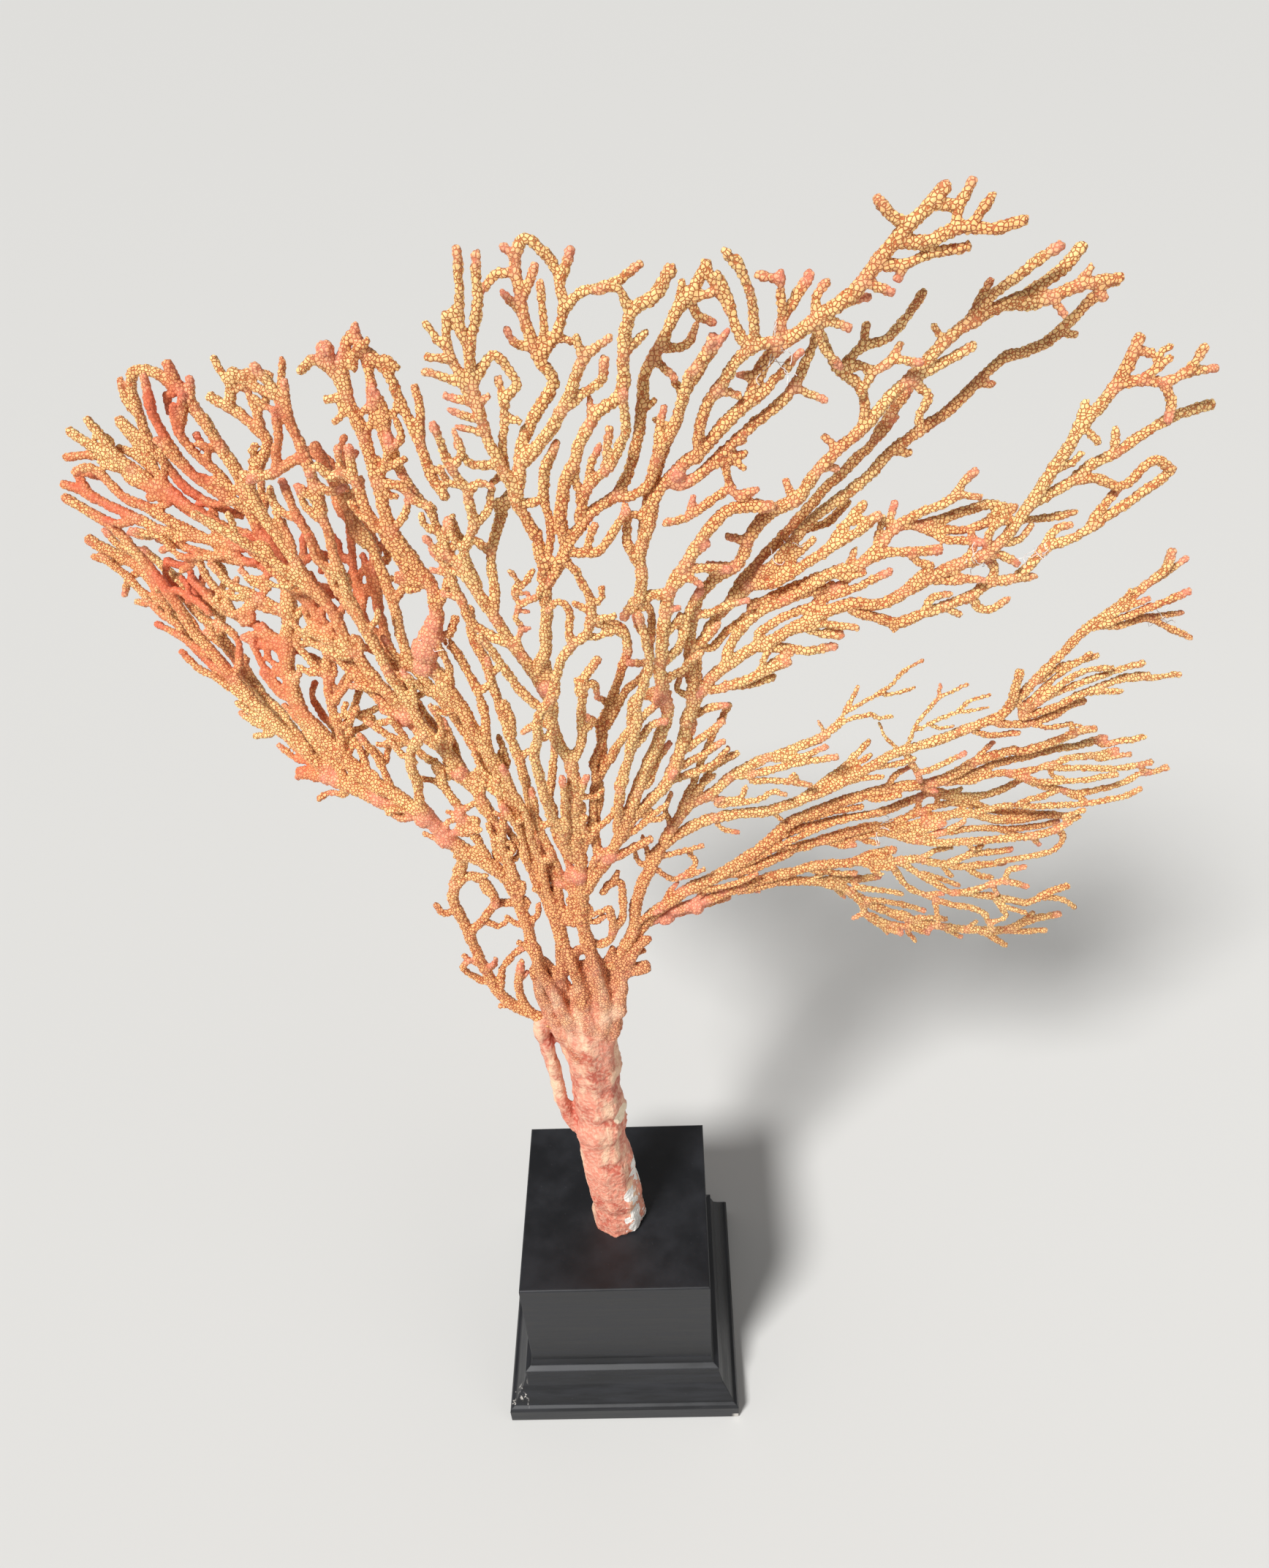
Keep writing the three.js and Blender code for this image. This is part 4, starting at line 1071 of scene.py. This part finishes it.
def add_tube(curve, name, number, rough):
    """Draws one branch, joined to the nearest branch that carries it, and says where it forks and ends."""
    spots, radii = in_space(name, number)
    carriers = ROUTES[name] or ROUTES.get(LIMBS[name][0])
    if carriers:
        joint = nearest(spots[0], carriers)
        if TOUCHING < np.linalg.norm(joint - spots[0]) < TOO_FAR:
            spots = np.vstack([joint, spots])
            radii = np.append(radii[0], radii)
    route, width = smooth_route(spots, radii, ROUTE_STEP)
    for i, spot in enumerate(route):
        fade = min(1.0, i / STILL_STEPS)
        route[i] = spot + wander(spot, WANDER_SIZE, number * NEXT_WANDER) * rough * fade
        knot = noise.noise(Vector(spot) / (KNOT_SIZE + KNOT_GROWTH * width[i]))
        width[i] *= 1 + KNOT_SWELL * knot + FORK_SWELL * math.exp(-i / FORK_STEPS) * (number > 0)
    ROUTES[name].append(route)
    ahead = route[-1] - route[-2]
    ahead /= np.linalg.norm(ahead)
    tip = width[-1] * TIP_SWELL
    cap = [(route[-1] + ahead * tip * out, tip * share) for out, share in TIP_PROFILE]
    route = np.vstack([route] + [spot for spot, _ in cap])
    add_spline(curve, route, np.append(width, [share for _, share in cap]))
    return spots[0], spots[-1]


LUMP_STEPS = 9
LUMP_SLANT = (0.15, 0.1)
LUMP_BLUNTNESS = 1.03


def add_lump(curve, name, at, radius):
    """Draws one knot, a ball set into a limb, as a very short tube."""
    middle = on_sheet(name, at)
    rise = np.linspace(-1, 1, LUMP_STEPS)
    route = middle + np.column_stack([rise * LUMP_SLANT[0], rise * LUMP_SLANT[1], rise]) * radius
    add_spline(curve, route, radius * np.sqrt(LUMP_BLUNTNESS - rise ** 2))
    return middle, radius


# %% [markdown]
# ## Polyps
# The crust is covered with polyps, round beads about a millimetre across, set as closely as corn on a
# cob. A bump map alone would leave the outline smooth, and the beads show there. So Geometry Nodes push
# the surface out along its normal, by a dome in each Voronoi cell and by a slower noise for lumps.

# %% A node with its settings
POLYPS_PER_METRE = 950.0


def new_node(tree, kind, values=None, **settings):
    """Adds a node to a tree, with its settings and the values of its own inputs."""
    node = tree.nodes.new(kind)
    for key, value in settings.items():
        setattr(node, key, value)
    for name, value in (values or {}).items():
        node.inputs[name].default_value = value
    return node


# %% The nodes that raise the polyps
def polyp_nodes(name, height, patchiness):
    """Geometry nodes that raise the surface in closely set round bumps, in millimetres."""
    tree = bpy.data.node_groups.new(name, "GeometryNodeTree")
    tree.interface.new_socket("Geometry", in_out="INPUT", socket_type="NodeSocketGeometry")
    tree.interface.new_socket("Geometry", in_out="OUTPUT", socket_type="NodeSocketGeometry")
    link = tree.links.new
    source = new_node(tree, "NodeGroupInput")
    result = new_node(tree, "NodeGroupOutput")
    cells = new_node(tree, "ShaderNodeTexVoronoi", {"Scale": POLYPS_PER_METRE, "Randomness": 0.85})
    low_to_high = {"From Min": 0.75, "From Max": 0.2, "To Min": -0.35 * height * MM, "To Max": height * MM}
    dome = new_node(tree, "ShaderNodeMapRange", low_to_high, interpolation_type="SMOOTHSTEP")
    patches = new_node(tree, "ShaderNodeTexNoise", {"Scale": 90.0, "Detail": 2.0})
    some_to_all = {"From Min": 0.35, "From Max": 0.6, "To Min": 1 - patchiness}
    amount = new_node(tree, "ShaderNodeMapRange", some_to_all)
    lumps = new_node(tree, "ShaderNodeTexNoise", {"Scale": 260.0, "Detail": 1.0})
    swell = new_node(tree, "ShaderNodeMapRange", {"To Min": -0.3 * MM, "To Max": 0.3 * MM})
    bumps = new_node(tree, "ShaderNodeMath", operation="MULTIPLY")
    both = new_node(tree, "ShaderNodeMath", operation="ADD")
    normal = new_node(tree, "GeometryNodeInputNormal")
    push = new_node(tree, "ShaderNodeVectorMath", operation="SCALE")
    move = new_node(tree, "GeometryNodeSetPosition")
    link(cells.outputs["Distance"], dome.inputs["Value"])
    link(patches.outputs[0], amount.inputs["Value"])
    link(dome.outputs[0], bumps.inputs[0])
    link(amount.outputs[0], bumps.inputs[1])
    link(lumps.outputs[0], swell.inputs["Value"])
    link(bumps.outputs[0], both.inputs[0])
    link(swell.outputs[0], both.inputs[1])
    link(normal.outputs[0], push.inputs[0])
    link(both.outputs[0], push.inputs["Scale"])
    link(source.outputs[0], move.inputs["Geometry"])
    link(push.outputs[0], move.inputs["Offset"])
    link(move.outputs[0], result.inputs[0])
    return tree


POLYPS = polyp_nodes("polyps", 0.3, 0.4)
BARK = polyp_nodes("bark", 0.25, 0.7)
print("a polyp every", round(1000 / POLYPS_PER_METRE, 2), "mm")

# %% [markdown]
# ## A limb as one skin
# Forty tubes that pass through each other aren't one branch: every fork shows a crease. Booleans on
# this many would be slow and fragile. A voxel Remesh fuses them all at once, Smooth rounds the forks,
# the polyps are raised, and Decimate takes off the points that the shape can spare.

# %% Meshes from what is drawn
def evaluated_mesh(thing, name):
    """The mesh that an object shows, with its modifiers or its bevel worked in."""
    graph = bpy.context.evaluated_depsgraph_get()
    mesh = bpy.data.meshes.new_from_object(thing.evaluated_get(graph), depsgraph=graph)
    mesh.name = name
    return mesh


def new_curve(name, radius, resolution):
    """An empty curve for splines with a round bevel."""
    curve = bpy.data.curves.new(name, "CURVE")
    curve.dimensions = "3D"
    curve.bevel_depth = radius
    curve.bevel_resolution = resolution
    return curve


def curve_mesh(curve, name):
    """The mesh of a curve's tubes."""
    drawn = bpy.data.objects.new(name + "_drawn", curve)
    bpy.context.scene.collection.objects.link(drawn)
    mesh = evaluated_mesh(drawn, name)
    bpy.data.objects.remove(drawn)
    return mesh


# %% Only one body
def largest_body(mesh):
    """Deletes every loose crumb but the largest body, and says how many points they had."""
    shell = bmesh.new()
    shell.from_mesh(mesh)
    left = set(shell.verts)
    bodies = []
    while left:
        seed = left.pop()
        body = {seed}
        edge = [seed]
        while edge:
            near = edge.pop()
            for link in near.link_edges:
                other = link.other_vert(near)
                if other in left:
                    left.discard(other)
                    body.add(other)
                    edge.append(other)
        bodies.append(body)
    bodies.sort(key=len)
    for body in bodies[:-1]:
        bmesh.ops.delete(shell, geom=list(body), context="VERTS")
    shell.to_mesh(mesh)
    shell.free()
    return sum(len(body) for body in bodies[:-1])


# %% Where the crust is pinker
TIP_PINK = 0.85
TIP_SPAN = 3.0
FORK_PINK = 0.65
FORK_SPAN = 2.8
LUMP_PINK = 1.6
LUMP_SPAN = 1.7


def mark_ends(mesh, ends, lumps):
    """Stores how near each point is to a tip, a fork or a knot, where the real fan is pinker."""
    count = len(mesh.vertices)
    places = np.empty(count * 3)
    mesh.vertices.foreach_get("co", places)
    places = places.reshape(-1, 3) / MM
    near = np.zeros(count)
    for fork, tip in ends:
        tip_gap = np.linalg.norm(places - tip, axis=1)
        fork_gap = np.linalg.norm(places - fork, axis=1)
        near = np.maximum(near, TIP_PINK * np.exp(-(tip_gap / TIP_SPAN) ** 2))
        near = np.maximum(near, FORK_PINK * np.exp(-(fork_gap / FORK_SPAN) ** 2))
    for middle, radius in lumps:
        gap = np.linalg.norm(places - middle, axis=1)
        near = np.maximum(near, LUMP_PINK * np.exp(-(gap / radius / LUMP_SPAN) ** 2))
    mesh.attributes.new("end", "FLOAT", "POINT").data.foreach_set("value", near)


# %% Growing a limb
KEPT_SHARE = 0.51


def grow_limb(name, voxel, rough, cover, material):
    """Makes a limb's mesh and lets it stand for the limb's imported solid."""
    curve = new_curve(name + "_curve", radius=MM, resolution=2)
    curve.use_fill_caps = True
    ends = [add_tube(curve, name, number, rough) for number in range(len(BRANCHES[name]))]
    lumps = [add_lump(curve, name, (x, z), radius) for x, z, radius in LUMPS.get(name, [])]
    piece = bpy.data.objects.new(name + "_grown", curve_mesh(curve, name))
    bpy.context.scene.collection.objects.link(piece)
    fuse = piece.modifiers.new("fuse", "REMESH")
    fuse.mode = "VOXEL"
    fuse.voxel_size = voxel * MM
    ease = piece.modifiers.new("ease", "SMOOTH")
    ease.factor = 0.5
    ease.iterations = 3
    bumps = piece.modifiers.new("bumps", "NODES")
    bumps.node_group = cover
    thin = piece.modifiers.new("thin", "DECIMATE")
    thin.ratio = KEPT_SHARE
    mesh = evaluated_mesh(piece, name + "_grown")
    piece.modifiers.clear()
    piece.data = mesh
    crumbs = largest_body(mesh)
    mark_ends(mesh, ends[:WRITTEN[name]], lumps)
    mesh.materials.clear()
    mesh.materials.append(material)
    mesh.shade_smooth()
    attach(piece, "root")
    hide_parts(name)
    mesh.calc_loop_triangles()
    triangles = len(mesh.loop_triangles)
    print(f"{name}: {triangles} triangles, {crumbs} loose points taken off")
    return triangles


# %% [markdown]
# ## Materials
# Every finish is made of noise and Voronoi cells in the object's own coordinates, so it is the same
# from all sides and needs no image. Image textures would need an unwrapped skin for 24 branching limbs.
# The class below only gives short names to the nodes that the finishes share.

# %% Colours and a short way to write nodes
def srgb(red, green, blue):
    """A colour given as 0 to 255 on screen, as the linear colour that a shader takes."""
    levels = [c / 255 for c in (red, green, blue)]
    return [c / 12.92 if c <= 0.04045 else ((c + 0.055) / 1.055) ** 2.4 for c in levels] + [1.0]


class Shader:
    """A material and short ways to add nodes to it."""

    def __init__(self, name, roughness):
        self.material = bpy.data.materials.new(name)
        self.material.use_nodes = True
        self.tree = self.material.node_tree
        self.surface = self.tree.nodes["Principled BSDF"]
        self.surface.inputs["Roughness"].default_value = roughness
        self.place = self.add("ShaderNodeTexCoord").outputs["Object"]

    def add(self, kind, values=None, **settings):
        return new_node(self.tree, kind, values, **settings)

    def put(self, value, socket):
        """Links a node's output to a socket, or sets the socket's own value."""
        if isinstance(value, bpy.types.NodeSocket):
            self.tree.links.new(value, socket)
        else:
            socket.default_value = value

    def noise(self, scale, detail=2.0, roughness=0.5, stretch=(1.0, 1.0, 1.0)):
        squeeze = self.add("ShaderNodeVectorMath", {1: stretch}, operation="MULTIPLY")
        node = self.add("ShaderNodeTexNoise", {"Scale": scale, "Detail": detail, "Roughness": roughness})
        self.put(self.place, squeeze.inputs[0])
        self.put(squeeze.outputs[0], node.inputs["Vector"])
        return node.outputs["Fac"]

    def cells(self, scale, feature="F1"):
        node = self.add("ShaderNodeTexVoronoi", {"Randomness": 0.85}, feature=feature)
        self.put(scale, node.inputs["Scale"])
        self.put(self.place, node.inputs["Vector"])
        return node.outputs["Distance"]

    def ramp(self, value, low, high, start=0.0, end=1.0):
        bounds = {"From Min": low, "From Max": high, "To Min": start, "To Max": end}
        node = self.add("ShaderNodeMapRange", bounds, interpolation_type="SMOOTHSTEP")
        self.put(value, node.inputs["Value"])
        return node.outputs[0]

    def math(self, operation, first, second):
        node = self.add("ShaderNodeMath", operation=operation)
        self.put(first, node.inputs[0])
        self.put(second, node.inputs[1])
        return node.outputs[0]

    def mix(self, share, first, second):
        node = self.add("ShaderNodeMix", data_type="RGBA")
        self.put(share, node.inputs["Factor"])
        self.put(first, node.inputs[6])
        self.put(second, node.inputs[7])
        return node.outputs[2]

    def axis(self, number):
        node = self.add("ShaderNodeSeparateXYZ")
        self.put(self.place, node.inputs[0])
        return node.outputs[number]

    def distance(self, spot):
        node = self.add("ShaderNodeVectorMath", {1: spot}, operation="DISTANCE")
        self.put(self.place, node.inputs[0])
        return node.outputs["Value"]

    def attribute(self, name):
        return self.add("ShaderNodeAttribute", attribute_name=name).outputs["Fac"]

    def relief(self, height, distance, strength):
        node = self.add("ShaderNodeBump", {"Distance": distance, "Strength": strength})
        self.put(height, node.inputs["Height"])
        self.put(node.outputs[0], self.surface.inputs["Normal"])
        return node

    def colour(self, value):
        self.put(value, self.surface.inputs["Base Color"])


# %% [markdown]
# ### The crust of the branches
# The crust is cream at each polyp and rust between them, and painted shade darkens that rust in the
# hollows between the beads. It is more orange near the trunk, pink and smooth at forks, tips and knots,
# and coral red in streaks on the left wing. One noise could colour it all, but the eye sees each of these
# changes follow the growth, so each is driven by what it follows on the real fan.

# %% The coral
LOW_CROWN = srgb(248, 176, 116)
# The rust between the beads near the trunk, darkened as painted shade for the hollows between them.
LOW_RUST_AND_SHADE = srgb(178, 80, 42)


def coral_colours(s):
    """Cream to orange crowns of the polyps and the rust between them, with painted shade, by place."""
    warm = s.ramp(s.noise(30.0, 3.0), 0.4, 0.66)
    crown = s.mix(warm, srgb(255, 212, 146), srgb(254, 192, 126))
    # The rust between the beads, darkened as painted shade for the hollows between them.
    gap = s.mix(warm, srgb(200, 114, 58), srgb(190, 90, 46))
    near_trunk = s.ramp(s.distance((0.0, -0.004, 0.235)), 0.1, 0.03, 0.0, 0.8)
    return s.mix(near_trunk, crown, LOW_CROWN), s.mix(near_trunk, gap, LOW_RUST_AND_SHADE)


def coral_material():
    """Pale, closely set polyps over rust bark with painted shade between them, pinker at the forks and tips
    and redder on the left.
    """
    s = Shader("coral", 0.62)
    crown, gap = coral_colours(s)
    end = s.attribute("end")
    rosy = s.math("MULTIPLY", s.ramp(end, 0.1, 0.8), s.ramp(s.noise(48.0, 2.0), 0.4, 0.62, 0.0, 0.8))
    rosy = s.math("MAXIMUM", rosy, s.ramp(end, 0.85, 1.3))
    left = s.ramp(s.axis(0), -0.02, -0.08)
    streaks = s.ramp(s.noise(40.0, 3.0), 0.45, 0.62)
    behind = s.ramp(s.axis(1), 0.0, 0.05, 0.4, 1.0)
    red = s.math("MULTIPLY", s.math("MULTIPLY", left, streaks), behind)
    crown = s.mix(rosy, crown, srgb(238, 156, 130))
    gap = s.mix(rosy, gap, srgb(204, 96, 78))
    crown = s.mix(red, crown, srgb(230, 124, 84))
    gap = s.mix(red, gap, srgb(190, 76, 46))
    bead = s.ramp(s.cells(POLYPS_PER_METRE, "DISTANCE_TO_EDGE"), 0.01, 0.14)
    smooth = s.math("MULTIPLY", s.math("MAXIMUM", rosy, red), 0.55)
    bead = s.math("MAXIMUM", bead, smooth)
    # The gap colour fills the hollows between the beads: the crust's rust with painted shade in it.
    s.colour(s.mix(bead, gap, crown))
    s.relief(bead, 0.0005, 0.8)
    s.surface.inputs["Subsurface Weight"].default_value = 0.25
    s.surface.inputs["Subsurface Radius"].default_value = (1.0, 0.35, 0.15)
    s.surface.inputs["Subsurface Scale"].default_value = 0.0015
    return s.material


CORAL = coral_material()
print("coral:", len(CORAL.node_tree.nodes), "nodes")

# %% [markdown]
# ### The trunk's bark
# The bark is salmon with cream streaks and red-brown blotches. Low on its right it is worn off to bare
# white, and higher up a cream chip stands out of it. Towards the top it changes raggedly into the crust
# with polyps. The streaks are noise that is stretched upwards, and the bare patches are Voronoi cells
# cut off by a ramp.

# %% The bark
def bark_colours(s, streak, fine):
    """Salmon bark with cream streaks, red-brown blotches and fine pale flecks."""
    bark = s.mix(s.ramp(streak, 0.46, 0.6), srgb(222, 138, 114), srgb(244, 200, 166))
    bark = s.mix(s.ramp(s.noise(95.0, 4.0, 0.62), 0.48, 0.64), bark, srgb(192, 94, 74))
    return s.mix(s.ramp(fine, 0.4, 0.7, 0.0, 0.45), bark, srgb(246, 206, 178))


def bare_places(s):
    """Flakes low on the right side where the bark is gone."""
    right = s.ramp(s.axis(0), 0.001, 0.009)
    low = s.ramp(s.axis(2), 0.15, 0.112)
    flakes = s.math("ADD", s.ramp(s.cells(150.0), 0.7, 0.2), s.noise(500.0, 2.0))
    return s.ramp(s.math("MULTIPLY", s.math("MULTIPLY", right, low), flakes), 0.6, 0.64)


def trunk_material():
    """The bark, which turns into the branches' crust towards the top."""
    s = Shader("trunk", 0.75)
    streak = s.noise(120.0, 4.0, 0.6, (1.0, 1.0, 0.25))
    fine = s.noise(700.0, 2.0)
    bark = bark_colours(s, streak, fine)
    bead = s.ramp(s.cells(POLYPS_PER_METRE, "DISTANCE_TO_EDGE"), 0.01, 0.15)
    # The crust's rust between the beads carries painted shade for the hollows between them.
    crust = s.mix(bead, LOW_RUST_AND_SHADE, LOW_CROWN)
    high = s.ramp(s.axis(2), 0.15, 0.3)
    ragged = s.ramp(s.math("ADD", high, s.noise(80.0, 3.0)), 0.7, 1.35)
    bark = s.mix(ragged, bark, crust)
    bark = s.mix(bare_places(s), bark, srgb(246, 240, 232))
    chip = s.ramp(s.distance((0.0068, -0.008, 0.1625)), 0.0046, 0.0038)
    s.colour(s.mix(chip, bark, srgb(250, 226, 196)))
    grain = s.math("ADD", fine, s.math("MULTIPLY", streak, 2.0))
    s.relief(s.math("ADD", grain, s.math("MULTIPLY", bead, ragged)), 0.0008, 0.8)
    return s.material


TRUNK = trunk_material()
print("trunk:", len(TRUNK.node_tree.nodes), "nodes")

# %% [markdown]
# ### The plinth's paint
# The plinth is wood under black satin paint. The grain still shows faintly, dust lies on it, and two
# corners are chipped to the pale wood. A Bevel node rounds its edges in the shading, because its packed
# solid, which stays, has sharp ones. The chips are ramps along the three axes, so they stay on those
# corners.

# %% The paint
CORNER = 0.0495
PAST_CORNER = 0.0515


def corner_chips(s, side, size):
    """Ragged chips at a front corner: side is -1 for the left one and 1 for the right one."""
    across = s.ramp(s.axis(0), side * (CORNER - size), side * (PAST_CORNER - size))
    front = s.ramp(s.axis(1), size - CORNER, size - PAST_CORNER)
    return s.math("MULTIPLY", across, front)


def plinth_material():
    """Black satin paint with faint wood grain and dust, chipped to pale wood at the front corners."""
    s = Shader("plinth", 0.42)
    grain = s.noise(40.0, 4.0, 0.6, (1.0, 1.0, 9.0))
    dust = s.ramp(s.noise(1400.0, 2.0), 0.7, 0.8, 0.0, 0.35)
    paint = s.mix(s.ramp(grain, 0.35, 0.7), srgb(17, 18, 21), srgb(33, 34, 38))
    paint = s.mix(dust, paint, srgb(92, 92, 96))
    band = s.math("MULTIPLY", s.ramp(s.axis(2), 0.009, 0.0105), s.ramp(s.axis(2), 0.03, 0.027))
    flakes = s.ramp(s.noise(300.0, 3.0, 0.7, (1.0, 1.0, 0.35)), 0.55, 0.6, 0.0, 0.75)
    left = s.math("MULTIPLY", s.math("MULTIPLY", corner_chips(s, -1, 0.009), band), flakes)
    foot = s.ramp(s.axis(2), 0.004, 0.003, 0.0, 0.8)
    right = s.math("MULTIPLY", corner_chips(s, 1, 0.0035), foot)
    s.colour(s.mix(s.math("MAXIMUM", left, right), paint, srgb(214, 208, 200)))
    s.put(s.ramp(grain, 0.3, 0.7, 0.36, 0.5), s.surface.inputs["Roughness"])
    relief = s.relief(grain, 0.0002, 0.25)
    edge = s.add("ShaderNodeBevel", {"Radius": 0.0007}, samples=6)
    s.put(edge.outputs[0], relief.inputs["Normal"])
    return s.material


PLINTH = plinth_material()
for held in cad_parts["plinth"].material_slots:
    held.material = PLINTH
print("plinth:", len(PLINTH.node_tree.nodes), "nodes")

# %% [markdown]
# ## Growing the limbs
# The trunk is thick and nearly smooth, so its voxels are coarse. The low limbs have the closest twigs
# and get the finest ones. One voxel size for all would either fuse those twigs or double the triangles.

# %% All limbs
# The size of a voxel and how far a branch wanders, in millimetres.
FINENESS = {"trunk": (0.8, 1.0), "low": (0.37, 0.3), "upper": (0.43, 0.6)}
triangles = 0
for limb in LIMBS:
    kind = "trunk" if limb == "trunk" else "low" if limb.startswith("low_") else "upper"
    voxel, rough = FINENESS[kind]
    cover, material = (BARK, TRUNK) if limb == "trunk" else (POLYPS, CORAL)
    triangles += grow_limb(limb, voxel, rough, cover, material)
print("all limbs:", triangles, "triangles")

# %% [markdown]
# ## Lint
# A few whitish fibres have been caught on the branches. Hair curves would need a particle system, and
# this is only a handful, so each fibre is a thin tube along a random walk that starts on a branch.

# %% The fibres
LINT = {
    "crest_right": [(57, 447), (52, 447)],
    "long_lower": [(60, 394)],
    "reach_lower": [(126, 392)],
    "reach_upper": [(110, 391)],
    "low_long": [(162, 375)],
    "low_middle": [(92, 299)],
    "shoulder": [(-33, 372)],
}
FIBRE_RADIUS = 0.11
FIBRE_STEPS = 11
FIBRE_STEP = 0.8
FIBRE_SPREAD = 0.8
FIBRE_CURL = 0.55
FORWARD = -0.6
FIBRES_AT_A_PLACE = 5
LINT_SEED = 5


def add_fibre(curve, start, luck):
    """One fibre that curls away from where it is caught."""
    turn = luck.uniform(0, 2 * math.pi)
    heading = np.array([math.cos(turn), FORWARD, math.sin(turn)])
    route = [start + luck.normal(0, FIBRE_SPREAD, 3)]
    for _ in range(FIBRE_STEPS):
        heading = heading + luck.normal(0, FIBRE_CURL, 3)
        heading /= np.linalg.norm(heading)
        route.append(route[-1] + heading * FIBRE_STEP)
    add_spline(curve, np.array(route), np.ones(len(route)))


def add_lint():
    """A few fibres at each place, all in one piece."""
    luck = np.random.default_rng(LINT_SEED)
    curve = new_curve("lint_curve", radius=FIBRE_RADIUS * MM, resolution=0)
    for name, spots in LINT.items():
        for at in spots:
            caught = nearest(on_sheet(name, at), ROUTES[name])
            for _ in range(FIBRES_AT_A_PLACE):
                add_fibre(curve, caught, luck)
    mesh = curve_mesh(curve, "lint")
    white = Shader("lint", 0.9)
    white.colour(white.mix(white.noise(900.0), srgb(222, 216, 212), srgb(244, 242, 240)))
    mesh.materials.clear()
    mesh.materials.append(white.material)
    lint = bpy.data.objects.new("lint", mesh)
    bpy.context.scene.collection.objects.link(lint)
    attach(lint, "root")
    print("lint:", len(mesh.polygons), "faces")


add_lint()

# %% [markdown]
# ## Floor and light
# The fan stands on a plain pale floor. The light in the picture comes from above on the left and leaves
# soft, warm shadows between the branches. An area lamp near the fan would light the tips more than the
# trunk, so the key is a sun with a wide angle, and a weak lamp and a pale sky fill the shadows.

# %% The floor
FLOOR_HALF = 9.0


def add_floor():
    """A pale square, far larger than the fan."""
    data = bpy.data.meshes.new("floor")
    sheet = bmesh.new()
    bmesh.ops.create_grid(sheet, x_segments=1, y_segments=1, size=FLOOR_HALF)
    sheet.to_mesh(data)
    sheet.free()
    floor = bpy.data.objects.new("floor", data)
    bpy.context.scene.collection.objects.link(floor)
    s = Shader("floor", 0.9)
    s.surface.inputs["Base Color"].default_value = srgb(206, 205, 202)
    data.materials.append(s.material)
    floor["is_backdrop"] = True


add_floor()

# %% The lights
AIM = Vector((0.02, 0, 0.3))


def add_lamp(name, kind, place, power, **settings):
    """A lamp that points at the middle of the fan."""
    data = bpy.data.lights.new(name, kind)
    data.energy = power
    for key, value in settings.items():
        setattr(data, key, value)
    lamp = bpy.data.objects.new(name, data)
    lamp.location = place
    lamp.rotation_euler = (AIM - Vector(place)).to_track_quat("-Z", "Y").to_euler()
    bpy.context.scene.collection.objects.link(lamp)
    print(name + ":", kind.lower(), power)


add_lamp("key", "SUN", (-0.8, -1.1, 1.9), 4.0, angle=math.radians(14.0))
add_lamp("fill", "AREA", (1.2, -0.9, 1.0), 3.0, size=1.2)
world = bpy.data.worlds.new("world")
world.use_nodes = True
sky = world.node_tree.nodes["Background"]
sky.inputs["Color"].default_value = (0.9, 0.9, 0.9, 1)
sky.inputs["Strength"].default_value = 0.28
bpy.context.scene.world = world
bpy.context.scene.view_settings.view_transform = "Standard"

# %% [markdown]
# ## The size of it all
# Both boxes, the imported model's and the one of the grown meshes, are printed side by side. The
# meshes must stay about inside the imported model's box.

# %% Sizes
visual_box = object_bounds()
for axis, *ends in zip("xyz", *CAD_BOX, *visual_box):
    print(axis, "packed and grown, mm:", [round(end / MM, 1) for end in ends])
